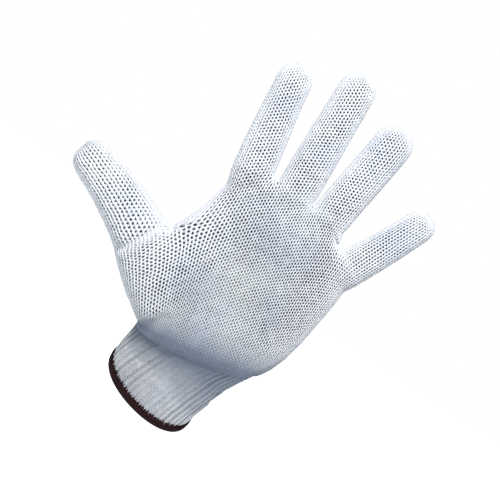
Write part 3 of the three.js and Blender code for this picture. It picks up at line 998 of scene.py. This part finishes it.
class Knitting:
    """Runs the yarn through the lattice, one closed course for each row."""

    JITTER = 0.035  # share of a wale and a course by which stitches stray
    LOOSE = 0.06  # share by which a stitch's yarn swells or thins
    WAVES = 4  # slow waves of looser and tighter knitting
    WAVE_LENGTH = (22.0, 48.0)
    WAVE_HEIGHT = 0.035
    TIP_TIGHT = 0.12
    TIP_REACH = (0.72, 0.2)  # shares of a digit's length where its tip's tightness starts, and its fade
    SIDE_TIGHT = 0.1
    SIDE_NARROW = 6  # the higher, the nearer its edges a digit's tightness keeps
    WRIST_TIGHT = 0.35
    WRIST_ROWS = 12
    WRIST_FULL = 3  # rows of the heel that are as tight as they get
    WRIST_FADE = 1.5
    FOLD_SHADOW_LEFT = 0.4  # share of the cuff's length that the painted shadow of the wrist's crease covers
    FOLD_SHADOW_RIGHT = 1.2
    FOLD_SHADOW_TURN = 3  # the higher, the further right the painted shadow starts to grow
    FOLD_SHADOW_FADE = (1.3, 0.8)  # how the painted shadow fades over the heel and over the cuff
    RIB_PERIOD = 2  # columns from one rib of the cuff to the next
    RIB_SHAPE = (-1.0, 0.6)
    RIB_STRENGTH = (0.45, 1.25)
    RIB_SHADE = 1.3  # most that the hollow between two ribs adds to the depth that paints shade
    TIGHTEST = 0.35
    LOOSEST = 1.7
    FLATTEST = 0.6  # least share of their depth that crowded loops keep
    CROWDED = 0.3  # how the yarn thins in crowded stitches
    OPEN = 0.85  # how it swells in wide ones
    LONGEST = 3.6
    DRAWN = 0.7  # how it swells in long ones

    def __init__(self, lattice: Lattice) -> None:
        """Take the relaxed lattice and work out its directions and flaws."""
        self.lattice = lattice
        self.normals = lattice.normals()
        self.mend_normals()
        rng = np.random.default_rng(SEED)
        self.stray = rng.normal(0.0, self.JITTER, (lattice.count, 2))
        self.swell = 1.0 + rng.normal(0.0, self.LOOSE, lattice.count)
        for _ in range(self.WAVES):
            wave = rng.normal(0.0, 1.0, 3)
            wave = wave / np.linalg.norm(wave) * 2 * math.pi / rng.uniform(*self.WAVE_LENGTH)
            phase = rng.uniform(0, 2 * math.pi)
            self.swell = self.swell + self.WAVE_HEIGHT * np.sin(lattice.points @ wave + phase)
        # painted shadow of the wrist's crease, 0 to 1 at each point
        self.fold_shadow = np.zeros(lattice.count)
        self.tighten()

    def mend_normals(self) -> None:
        """Even out the directions with those of the neighbours."""
        for patch in self.lattice.patches.values():
            total = self.normals[patch.grid] * 2
            for other in patch.around:
                total = total + self.normals[other]
            self.normals[patch.grid] = unit(total)

    def tighten(self) -> None:
        """Close the stitches at the fingertips, along the fingers' sides and round the wrist."""
        patches = self.lattice.patches
        for digit in DIGITS:
            grid = patches[digit.node].grid
            share = np.arange(grid.shape[0]) / digit.rows
            tip = np.clip((share - self.TIP_REACH[0]) / self.TIP_REACH[1], 0, 1)[:, None]
            side = np.abs(np.cos(ring_angles(digit.columns)))[None] ** self.SIDE_NARROW
            self.swell[grid] *= 1 + self.TIP_TIGHT * tip + self.SIDE_TIGHT * side * (1 - tip)
        heel = patches["heel"].grid[: self.WRIST_ROWS]
        past = np.arange(self.WRIST_ROWS) - self.WRIST_FULL
        fade = np.clip(1 - past / (self.WRIST_ROWS - self.WRIST_FULL), 0, 1)
        self.swell[heel] *= 1 + self.WRIST_TIGHT * fade[:, None] ** self.WRIST_FADE
        # painted shadow in the wrist's crease, strongest on the heel's lowest rows
        self.fold_shadow[heel] = fade[:, None] ** self.FOLD_SHADOW_FADE[0]
        cuff = patches["rib_cuff"].grid
        share = (np.arange(cuff.shape[0]) / (cuff.shape[0] - 1))[:, None]
        across = self.lattice.points[cuff][..., 0]
        across = (across - across.min()) / np.ptp(across)
        reach = self.FOLD_SHADOW_LEFT + (self.FOLD_SHADOW_RIGHT - self.FOLD_SHADOW_LEFT) * across**self.FOLD_SHADOW_TURN
        # on the cuff the painted shadow reaches further down towards the little finger's side
        self.fold_shadow[cuff] = np.clip((share - 1 + reach) / reach, 0, 1) ** self.FOLD_SHADOW_FADE[1]

    def rib_heights(self, columns: int, height: float) -> np.ndarray:
        """How far each column of a ribbed tube stands forward."""
        rng = np.random.default_rng(SEED)
        strength = rng.uniform(*self.RIB_STRENGTH, columns // self.RIB_PERIOD)
        return (strength[:, None] * np.array(self.RIB_SHAPE)[None]).ravel() * height

    def lattice_values(self, patch: Patch, ribs: float) -> np.ndarray:
        """What the yarn reads from a patch's lattice.

        Args:
            patch: the tube.
            ribs: how far its ribs stand forward, in millimetres.

        Returns:
            For each point its place, direction, swell, width, the ribs' painted shade, the painted shadow of
            the wrist's crease and height.
        """
        gauge = patch.gauge
        rows = patch.extended
        normals = self.normals[rows]
        points = self.lattice.points[rows] - normals * (gauge.depth + gauge.yarn)
        across = (np.roll(points, -1, axis=1) - np.roll(points, 1, axis=1)) / 2
        points = points + across * self.stray[rows][..., :1] + unit_up(points) * (
            gauge.course * self.stray[rows][..., 1:]
        )
        sunk_shade = np.zeros(rows.shape)
        if ribs:
            rib = self.rib_heights(rows.shape[1], ribs)
            points = points + normals * rib[None, :, None]
            # the hollows between the ribs add painted shade to the yarn that lies in them
            sunk_shade = sunk_shade + np.clip(-rib / ribs, 0, self.RIB_SHADE)[None]
        width = np.linalg.norm(across, axis=2)
        climb = np.linalg.norm(np.gradient(points, axis=0), axis=2)
        numbers = np.stack([self.swell[rows], width, sunk_shade, self.fold_shadow[rows], climb], axis=2)
        return np.concatenate([points, normals, numbers], axis=2)

    def path(self, patch: Patch, first: int, last: int, ribs: float = 0.0) -> YarnPath:
        """The yarn of some of a patch's rows.

        Args:
            patch: the tube.
            first: its first row.
            last: the row after its last.
            ribs: how far its ribs stand forward, in millimetres.

        Returns:
            The courses, with their values.
        """
        gauge = patch.gauge
        values = self.lattice_values(patch, ribs)
        columns = values.shape[1]
        step = np.arange(gauge.samples) / gauge.samples
        x = step + gauge.lean * np.sin(4 * math.pi * step)
        y = np.tile(-gauge.rise * np.cos(2 * math.pi * step), columns)
        z = np.tile(-gauge.depth * np.cos(4 * math.pi * step), columns)
        bar = 1 + gauge.bar * np.cos(2 * math.pi * np.tile(step, columns)) ** 2
        u = (np.arange(columns)[:, None] - 0.5 + x[None]).reshape(-1)
        path = YarnPath()
        for row in range(first, last):
            read = between(values, u, row + y)
            normal = unit(read[:, 3:6])
            swell, width, sunk_shade, fold_shadow, climb = read[:, 6:].T
            tight = np.clip(width / gauge.wale, self.TIGHTEST, self.LOOSEST)
            lift = z * np.clip(tight, self.FLATTEST, 1.0)
            path.courses.append(read[:, :3] + normal * lift[:, None])
            path.outward.append(normal)
            # how deep the yarn lies, which the material turns into painted shade
            path.recess_shade.append(0.5 - z / gauge.depth / 2 + sunk_shade)
            path.fold_shadow.append(fold_shadow)
            fit = np.where(tight < 1, tight**self.CROWDED, tight**self.OPEN)
            drawn = np.clip(climb / gauge.course, 1.0, self.LONGEST) ** self.DRAWN
            path.thickness.append(swell * fit * bar * drawn)
        return path


def unit_up(points: np.ndarray) -> np.ndarray:
    """Direction from each row of points to the next."""
    return unit(np.gradient(points, axis=0))


def open_group(name: str, inputs: dict[str, tuple[str, float | None]], output: str) -> Shade:
    """Start a shader group whose output is a number.

    Args:
        name: the group's name.
        inputs: kind and first value of each input by its name.
        output: the output's name.

    Returns:
        What builds its nodes.
    """
    tree = bpy.data.node_groups.new(name, "ShaderNodeTree")
    made = add_sockets(tree, {key: kind for key, (kind, _) in inputs.items()}, (output, "Float"))
    for key, (_, value) in inputs.items():
        if value is not None:
            made[key].default_value = value
    return Shade(tree)


def ply_group() -> bpy.types.NodeTree:
    """The twist of a yarn's plies, as a height that climbs round it.

    Returns:
        A group with the inputs Map, Plies and Pitch and the output Height.
    """
    inputs = {"Map": ("Vector", None), "Plies": ("Float", 3.0), "Pitch": ("Float", 4.0)}
    shade = open_group("ply_twist", inputs, "Height")
    start, end = shade.ends()
    split = shade.node("ShaderNodeSeparateXYZ")
    shade.feed(split.inputs[0], start.outputs["Map"])
    climb = shade.math("DIVIDE", split.outputs["X"], start.outputs["Pitch"])
    turns = shade.math("ADD", climb, split.outputs["Y"])
    phase = shade.math("MULTIPLY", turns, start.outputs["Plies"])
    wave = shade.math("SINE", shade.math("MULTIPLY", phase, math.pi))
    shade.feed(end.inputs["Height"], shade.math("ABSOLUTE", wave))
    return shade.tree


def fuzz_group() -> bpy.types.NodeTree:
    """Loose fibres on spun yarn, as a fine uneven height.

    Returns:
        A group with the inputs Place and Fineness and the output Height.
    """
    shade = open_group("fibre_fuzz", {"Place": ("Vector", None), "Fineness": ("Float", 2500.0)}, "Height")
    start, end = shade.ends()
    height = shade.noise(start.outputs["Place"], start.outputs["Fineness"], detail=3.0, roughness=0.65)
    shade.feed(end.inputs["Height"], height)
    return shade.tree


def hollow_shade_group() -> bpy.types.NodeTree:
    """Painted shade between the loops, from a place's depth and from which way it faces.

    Returns:
        A group with the inputs Recess, Outward and Facing and one output, the painted shade.
    """
    inputs = {"Recess": ("Float", None), "Outward": ("Vector", None), "Facing": ("Vector", None)}
    shade = open_group("shade_between_loops", inputs, "Shaded")
    start, end = shade.ends()
    # painted shade: yarn that faces into the cloth, and yarn that lies deep, take the dark hollow colour
    dot = shade.node("ShaderNodeVectorMath", operation="DOT_PRODUCT")
    shade.feed(dot.inputs[0], start.outputs["Outward"])
    shade.feed(dot.inputs[1], start.outputs["Facing"])
    turned = {"From Min": 0.25, "From Max": -0.35}
    inward = shade.ramp(dot.outputs["Value"], turned, "SMOOTHSTEP")
    sunk_shade = {"From Min": 0.55, "From Max": 2.0, "To Max": 0.7}
    deep = shade.ramp(start.outputs["Recess"], sunk_shade, "SMOOTHSTEP")
    shade.feed(end.inputs["Shaded"], shade.math("MAXIMUM", inward, deep))
    return shade.tree


@dataclass(frozen=True)
class YarnFinish:
    """The finish of one kind of yarn.

    Args:
        name: its material.
        colour: the yarn on the fabric's face.
        hollow: painted shade for the yarn between and behind the loops, for the inner sides of the wraps and
            for the cloth's inner sheet.
        drift: how far the colour strays over the fabric.
        plies: strands twisted into the yarn.
        pitch: millimetres for one turn of the twist.
        twist: height of the plies' bump.
        fuzz: height of the fibres' bump.
        roughness: of the surface.
        sheen: weight of the fibres' rim light.
        cool: tint of the cooler stretches.
        shade: colour of the painted shadow in the wrist's crease.
        shade_strength: most of that colour.
    """

    name: str
    colour: Colour
    hollow: Colour
    drift: float
    plies: float
    pitch: float
    twist: float
    fuzz: float
    roughness: float
    sheen: float
    cool: Colour = (0.93, 0.94, 0.99)
    shade: Colour = (0.17, 0.22, 0.31)
    shade_strength: float = 0.88

    def build(self, groups: dict[str, bpy.types.NodeTree]) -> bpy.types.Material:
        """Make the material.

        Args:
            groups: the shared shader groups by name.

        Returns:
            The material, with its bump, colour and painted shade in the hollows.
        """
        material = bpy.data.materials.new(self.name)
        material.use_nodes = True
        shade = Shade(material.node_tree)
        shader = material.node_tree.nodes["Principled BSDF"]
        shader.inputs["Roughness"].default_value = self.roughness
        shader.inputs["Sheen Weight"].default_value = self.sheen
        shader.inputs["Sheen Roughness"].default_value = 0.5
        shader.inputs["Specular IOR Level"].default_value = 0.2
        place = shade.node("ShaderNodeTexCoord").outputs["Object"]
        shade.feed(shader.inputs["Base Color"], self.tone(shade, place, groups["hollow"]))
        ply = shade.node("ShaderNodeGroup", node_tree=groups["ply"])
        ply.inputs["Plies"].default_value = self.plies
        ply.inputs["Pitch"].default_value = self.pitch
        shade.feed(ply.inputs["Map"], shade.node("ShaderNodeUVMap", uv_map="YarnMap").outputs["UV"])
        fuzz = shade.node("ShaderNodeGroup", node_tree=groups["fuzz"])
        shade.feed(fuzz.inputs["Place"], place)
        twist = shade.math("MULTIPLY", ply.outputs["Height"], self.twist)
        fibres = shade.math("MULTIPLY", fuzz.outputs["Height"], self.fuzz)
        bump = shade.node("ShaderNodeBump")
        bump.inputs["Distance"].default_value = MM
        shade.feed(bump.inputs["Height"], shade.math("ADD", twist, fibres))
        shade.feed(shader.inputs["Normal"], bump.outputs["Normal"])
        return material

    def tone(
        self, shade: Shade, place: bpy.types.NodeSocket, group: bpy.types.NodeTree
    ) -> bpy.types.NodeSocket:
        """The yarn's colour over the fabric.

        Args:
            shade: what builds the material's nodes.
            place: Object coordinates.
            group: the shader group that paints shade in the hollows.

        Returns:
            The colour, cooler in places, with painted shade in the hollows and a painted shadow in the
            wrist's crease.
        """
        hollow = shade.node("ShaderNodeGroup", node_tree=group)
        shade.feed(hollow.inputs["Recess"], shade.attribute("recess_shade"))
        shade.feed(hollow.inputs["Outward"], shade.attribute("outward", "Vector"))
        shade.feed(hollow.inputs["Facing"], shade.node("ShaderNodeNewGeometry").outputs["Normal"])
        level = shade.ramp(shade.noise(place, 90.0), {"To Min": 1 - self.drift, "To Max": 1 + self.drift})
        cool = shade.ramp(shade.noise(place, 28.0), {"From Min": 0.42, "From Max": 0.68}, "SMOOTHSTEP")
        cooler = tuple(part * share for part, share in zip(self.colour, self.cool))
        face = shade.node("ShaderNodeVectorMath", operation="SCALE")
        shade.feed(face.inputs[0], shade.mix(cool, self.colour, cooler))
        shade.feed(face.inputs["Scale"], level)
        # painted shade: the hollow colour where the yarn lies deep or faces into the cloth
        mixed = shade.mix(hollow.outputs["Shaded"], face.outputs[0], self.hollow)
        # painted shadow in the wrist's crease
        fold_shadow = shade.math("MULTIPLY", shade.attribute("fold_shadow"), self.shade_strength)
        return shade.mix(fold_shadow, mixed, self.shade)


# The second colour of each finish is painted shade, for the yarn between and behind the loops.
COTTON = YarnFinish(
    "cotton_knit", (0.77, 0.8, 0.85), (0.03, 0.03, 0.05), 0.05, 3, 5.0, 0.22, 0.12, 0.95, 0.03
)
RIB = YarnFinish(
    "cotton_rib", (0.88, 0.91, 0.95), (0.22, 0.24, 0.28), 0.05, 3, 5.0, 0.2, 0.12, 0.95, 0.03
)
OVERLOCK = YarnFinish(
    "overlock_thread", (0.022, 0.004, 0.006), (0.006, 0.002, 0.003), 0.3, 2, 1.6, 0.12, 0.05, 0.8, 0.01
)


@dataclass(frozen=True)
class KnitPiece:
    """A named stretch of the knitting.

    Args:
        name: the piece's name.
        patches: its patches, each with its first and last row, or None for all its rows.
        node: the CAD node that it stands for.
        slot: the record's material slot.
        ribs: how far its ribs stand forward, in millimetres.
    """

    name: str
    patches: tuple[tuple[str, int | None, int | None], ...]
    node: str
    slot: str = "cotton_knit"
    ribs: float = 0.0


HALF_HEEL = Hand.HEEL_ROWS // 2
KNIT_PIECES = (
    KnitPiece("heel_knit", (("heel", 0, HALF_HEEL),), "palm"),
    KnitPiece("palm_knit", (("heel", HALF_HEEL, None),), "palm"),
    KnitPiece("knuckle_knit", (("knuckles", None, None), ("bridge", None, None)), "palm"),
    KnitPiece("thumb_knit", (("thumb", None, None),), "thumb"),
    KnitPiece("index_knit", (("index_finger", None, None),), "index_finger"),
    KnitPiece("middle_knit", (("middle_finger", None, None),), "middle_finger"),
    KnitPiece("ring_knit", (("ring_finger", None, None),), "ring_finger"),
    KnitPiece("little_knit", (("little_finger", None, None),), "little_finger"),
    KnitPiece("cuff_knit", (("rib_cuff", None, None),), "rib_cuff", "cotton_rib", 0.42),
)


@dataclass
class KnittedShell:
    """The glove's knitted cloth, in pieces that stand for the CAD tubes.

    Args:
        knitting: what runs the yarn.
        sweep: what sweeps it.
        finishes: the materials by slot.
    """

    knitting: Knitting
    sweep: YarnSweep
    finishes: dict[str, bpy.types.Material]

    def build(self) -> None:
        """Knit every piece and hang it on the frame."""
        for plan in KNIT_PIECES:
            path = YarnPath()
            for name, first, last in plan.patches:
                patch = self.knitting.lattice.patches[name]
                start = patch.first if first is None else first
                stop = patch.last if last is None else last
                path.extend(self.knitting.path(patch, start, stop, plan.ribs))
            gauge = patch.gauge
            piece = self.sweep.make(plan.name, path, gauge.yarn, gauge.sides, self.finishes[plan.slot])
            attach(piece, "root")
            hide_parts(plan.node)
            triangles = sum(len(p.vertices) - 2 for p in piece.data.polygons)
            LOG.info("%s: %d courses, %d triangles", plan.name, len(path.courses), triangles)


@dataclass
class InnerShadeSheet:
    """The cloth's inner face, a sheet for the floats of yarn that closes the view between the loops; its side
    seen between the loops is painted dark as the shade inside the glove.

    Args:
        knitting: the cloth it belongs to.
        finishes: the materials by slot.
        thickness: of the face in millimetres.
        margin: share of its strip of the bake that each layer leaves free.
    """

    knitting: Knitting
    finishes: dict[str, bpy.types.Material]
    thickness: float = 0.2
    margin: float = 0.02

    def build(self) -> None:
        """Line every tube and hang the linings on the frame."""
        lattice = self.knitting.lattice
        deep = np.zeros(lattice.count)
        for patch in lattice.patches.values():
            deep[patch.grid] = 2 * (patch.gauge.depth + patch.gauge.yarn)
        inward = -self.knitting.normals
        outer = lattice.points + inward * deep[:, None]
        inner = outer + inward * self.thickness
        nodes: dict[str, list[str]] = {}
        for plan in KNIT_PIECES:
            names = nodes.setdefault(plan.node, [])
            names.extend(name for name, _, _ in plan.patches if name not in names)
        for node, names in nodes.items():
            slot = "cotton_rib" if node == "rib_cuff" else "cotton_knit"
            patches = [lattice.patches[name] for name in names]
            piece = self.sheet(node + "_inner_shade", patches, (outer, inner), inward)
            piece.data.materials.append(self.finishes[slot])
            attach(piece, "root")
            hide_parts(node)
            LOG.info("%s: %d faces", piece.name, len(piece.data.polygons))

    def lined_rows(self, patch: Patch) -> np.ndarray:
        """The rows that a patch's lining covers, up to where the next patch's starts."""
        rows = patch.grid[patch.first : patch.last]
        if patch.first == 0:
            rows = np.vstack([patch.below[-1:], rows])
        if patch.last == patch.grid.shape[0] and patch.name != "rib_cuff":
            rows = np.vstack([rows, patch.above[:1]])
        return rows

    def sheet(
        self, name: str, patches: list[Patch], layers: tuple[np.ndarray, np.ndarray], inward: np.ndarray
    ) -> bpy.types.Object:
        """One piece with an outer and an inner layer.

        Args:
            name: the piece's name.
            patches: the patches it lines.
            layers: places of all lattice points on its two layers.
            inward: direction into the tube at every lattice point.

        Returns:
            The piece, at the origin.
        """
        corners, faces, sides, fold_shadows, along, bake = [], [], [], [], [], []
        start = 0
        for number, patch in enumerate(patches):
            rows = self.lined_rows(patch)
            height, width = rows.shape
            place = np.arange(rows.size).reshape(rows.shape)
            step = np.arange(width)
            for layer, points in enumerate(layers):
                low, high = place[:-1], place[1:]
                quads = np.stack([low, np.roll(low, -1, 1), np.roll(high, -1, 1), high], axis=2)
                grid_u = np.stack([step, step + 1, step + 1, step], axis=1) / width
                grid_u = np.broadcast_to(grid_u, quads.shape)
                level = np.arange(height - 1)[:, None, None] + np.array([0, 0, 1, 1])
                grid_v = np.broadcast_to(level, quads.shape) / height
                if layer:
                    quads, grid_u, grid_v = (part[..., ::-1] for part in (quads, grid_u, grid_v))
                corners.append(points[rows].reshape(-1, 3))
                # the inward direction is stored as outward, so the side of the sheet seen between the loops
                # takes the painted shade
                sides.append(inward[rows].reshape(-1, 3))
                # the painted shadow of the wrist's crease carries onto the inner sheet
                fold_shadows.append(self.knitting.fold_shadow[rows].ravel())
                faces.append((quads + start).reshape(-1, 4))
                strip = 2 * number + layer + self.margin + grid_v * (1 - 2 * self.margin)
                strip = strip / (2 * len(patches))
                bake.append(np.stack([grid_u, strip], axis=-1).reshape(-1, 2))
                yarn = np.stack([grid_u * width * patch.gauge.wale, grid_v * height], axis=-1)
                along.append(yarn.reshape(-1, 2))
                start += rows.size
        mesh = bpy.data.meshes.new(name)
        mesh.from_pydata((np.vstack(corners) * MM).tolist(), [], np.vstack(faces).tolist())
        lay_map(mesh, "YarnMap", np.vstack(along))
        lay_map(mesh, "OFBake", np.vstack(bake))
        store(mesh, "outward", np.vstack(sides))
        store(mesh, "fold_shadow", np.concatenate(fold_shadows))
        mesh.polygons.foreach_set("use_smooth", [True] * len(mesh.polygons))
        return add_object(name, mesh)


@dataclass
class OverlockedEdge:
    """The dark threads that wrap the cuff's edge.

    Args:
        knitting: the cloth that the threads are sewn through.
        sweep: what sweeps them.
        material: their finish.
        teeth: stitches round the edge.
        strand_reach: how far each thread of a stitch reaches, for the longest one.
        height: how far the longest reach up the outside.
        inside: how far they reach up the inside.
        proud: how far they stand out from the cloth.
        thread: radius of a thread.
        samples: points in one wrap.
        uneven: share by which their reach differs from stitch to stitch.
        squareness: powers that square off a wrap across and along the cloth.
        slub: share by which the thread swells and thins.
        sides: facets round the thread.
    """

    knitting: Knitting
    sweep: YarnSweep
    material: bpy.types.Material
    teeth: int = 86
    strand_reach: tuple[float, ...] = (1.0, 0.8, 0.6, 0.8)
    height: float = 5.4
    inside: float = 3.6
    proud: float = 1.0
    thread: float = 0.34
    samples: int = 12
    uneven: float = 0.04
    squareness: tuple[float, float] = (0.55, 0.6)
    slub: float = 0.12
    sides: int = 5

    def build(self) -> None:
        """Wrap the edge with the threads that stand for the CAD binding."""
        patch = self.knitting.lattice.patches["rib_cuff"]
        rows = patch.extended
        values = np.concatenate(
            [self.knitting.lattice.points[rows], self.knitting.normals[rows]], axis=2
        )
        strands = len(self.strand_reach)
        wraps = self.teeth * strands
        count = wraps * self.samples
        step = np.arange(count)
        wrap = step // self.samples
        turn = 2 * math.pi * (step % self.samples) / self.samples
        u = step / count * rows.shape[1]
        rng = np.random.default_rng(SEED)
        reach = np.array(self.strand_reach)[wrap % strands] * (1 + rng.normal(0, self.uneven, wraps)[wrap])
        up, out = np.sin(turn), np.cos(turn)
        top = np.where(out > 0, self.height * reach, self.inside)
        squared = np.sign(out) * np.abs(out) ** self.squareness[0]
        climb = np.abs(up) ** self.squareness[1]
        rise = np.where(up > 0, climb * top, -climb * self.proud)
        base = patch.first - 0.5
        read = between(values, u, np.full(count, base))
        higher = between(values, u, np.full(count, base + 1.0))
        along = unit(higher[:, :3] - read[:, :3])
        normal = unit(read[:, 3:6])
        half_cloth = patch.gauge.depth + patch.gauge.yarn
        offset = squared * (half_cloth + self.proud) - half_cloth
        place = read[:, :3] + along * rise[:, None] + normal * offset[:, None]
        # the side of each wrap that faces into the cloth takes the thread's painted shade
        outward = unit(normal * squared[:, None] + along * 0.01)
        path = YarnPath([place], [outward], [np.zeros(count)], [np.zeros(count)], [np.ones(count)], self.slub)
        piece = self.sweep.make("edge_wraps", path, self.thread, self.sides, self.material)
        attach(piece, "root")
        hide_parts("edge_binding")
        LOG.info("edge_wraps: %d wraps", wraps)


@dataclass(frozen=True)
class Studio:
    """Pale floor, white surroundings, soft lights and the camera.

    Args:
        centre: what the camera aims at, in millimetres.
        distance: from the camera to the hand's plane.
        view_width: width of the picture at the hand's plane.
        roll: degrees that the glove leans to the left in the picture.
        sensor: width of the camera's sensor.
        floor_drop: how far below the glove the floor lies.
        floor_half: half the floor's side, in metres.
        floor_glow: how much the floor shines for the camera.
        sky: colour of the light from all round.
        sky_strength: its strength.
    """

    centre: tuple[float, float, float] = (5.06, HAND_PLANE, 105.8)
    distance: float = 700.0
    view_width: float = 300.0
    roll: float = 33.0
    sensor: float = 36.0
    floor_drop: float = 25.0
    floor_half: float = 6.0
    floor_glow: float = 0.9
    sky: Colour = (0.84, 0.92, 1.0)
    sky_strength: float = 0.36

    @property
    def right(self) -> Vector:
        """The picture's right."""
        return Vector((math.cos(math.radians(self.roll)), 0.0, math.sin(math.radians(self.roll))))

    @property
    def up(self) -> Vector:
        """The picture's up."""
        return Vector((-math.sin(math.radians(self.roll)), 0.0, math.cos(math.radians(self.roll))))

    def build(self) -> None:
        """Make everything round the glove."""
        self.camera()
        self.floor()
        self.surroundings()
        self.lamp("key", (0.42, 0.75, 0.8), 1100, 220, 14.5, (1.0, 0.985, 0.96))
        self.lamp("fill", (-0.9, 0.1, 0.6), 1200, 900, 0.5, (0.84, 0.9, 1.0))
        bpy.context.scene.view_settings.view_transform = "Standard"

    def camera(self) -> None:
        """Place the camera at the photograph's angle."""
        data = bpy.data.cameras.new("camera")
        data.sensor_width = self.sensor
        data.lens = self.sensor * self.distance / self.view_width
        camera = add_object("camera", data)
        back = self.right.cross(self.up)
        turn = Matrix((self.right, self.up, back)).transposed().to_4x4()
        place = (Vector(self.centre) + back * self.distance) * MM
        camera.matrix_world = Matrix.Translation(place) @ turn
        bpy.context.scene.camera = camera

    def floor(self) -> None:
        """Lay a plain pale floor below the glove."""
        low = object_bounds()[0][2] - self.floor_drop * MM
        half = self.floor_half
        mesh = bpy.data.meshes.new("floor")
        corners = [(-half, -half, low), (half, -half, low), (half, half, low), (-half, half, low)]
        mesh.from_pydata(corners, [], [(0, 1, 2, 3)])
        floor = add_object("floor", mesh)
        material = bpy.data.materials.new("pale_floor")
        material.use_nodes = True
        shader = material.node_tree.nodes["Principled BSDF"]
        shader.inputs["Base Color"].default_value = (0.93, 0.93, 0.93, 1.0)
        shader.inputs["Roughness"].default_value = 0.9
        shader.inputs["Emission Color"].default_value = (1.0, 1.0, 1.0, 1.0)
        shade = Shade(material.node_tree)
        seen = shade.node("ShaderNodeLightPath").outputs["Is Camera Ray"]
        shade.feed(shader.inputs["Emission Strength"], shade.math("MULTIPLY", seen, self.floor_glow))
        mesh.materials.append(material)
        floor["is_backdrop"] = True

    def surroundings(self) -> None:
        """Light the scene from all round, with a white backdrop for the camera."""
        world = bpy.data.worlds.new("studio")
        world.use_nodes = True
        bpy.context.scene.world = world
        shade = Shade(world.node_tree)
        background = world.node_tree.nodes["Background"]
        seen = shade.node("ShaderNodeLightPath").outputs["Is Camera Ray"]
        shade.feed(background.inputs["Color"], shade.mix(seen, self.sky, (1.0, 1.0, 1.0)))
        strength = shade.ramp(seen, {"To Min": self.sky_strength, "To Max": 1.0})
        shade.feed(background.inputs["Strength"], strength)

    def lamp(self, name: str, aim: Colour, away: float, size: float, power: float, colour: Colour) -> None:
        """Hang one soft square light.

        Args:
            name: what it is called.
            aim: how far it hangs to the picture's right, up the picture and before the glove.
            away: its distance in millimetres.
            size: its side in millimetres.
            power: in watts.
            colour: of its light.
        """
        data = bpy.data.lights.new(name, "AREA")
        data.energy = power
        data.size = size * MM
        data.color = colour
        light = add_object(name, data)
        right, up, front = aim
        towards = (self.right * right + self.up * up + Vector(PALMWARD) * front).normalized()
        light.location = (Vector(self.centre) + towards * away) * MM
        light.rotation_euler = towards.to_track_quat("Z", "Y").to_euler()


def main() -> None:
    """Build the glove and its studio, and log every piece."""
    logging.basicConfig(level=logging.INFO, format="%(name)s: %(message)s")
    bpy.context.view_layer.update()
    Studio().build()
    groups = {"ply": ply_group(), "fuzz": fuzz_group(), "hollow": hollow_shade_group()}
    finishes = {finish.name: finish.build(groups) for finish in (COTTON, RIB, OVERLOCK)}
    hand = Hand()
    knitting = Knitting(hand.lattice)
    sweep = YarnSweep()
    KnittedShell(knitting, sweep, finishes).build()
    InnerShadeSheet(knitting, finishes).build()
    OverlockedEdge(knitting, sweep, finishes["overlock_thread"]).build()


if __name__ == "__main__":
    main()
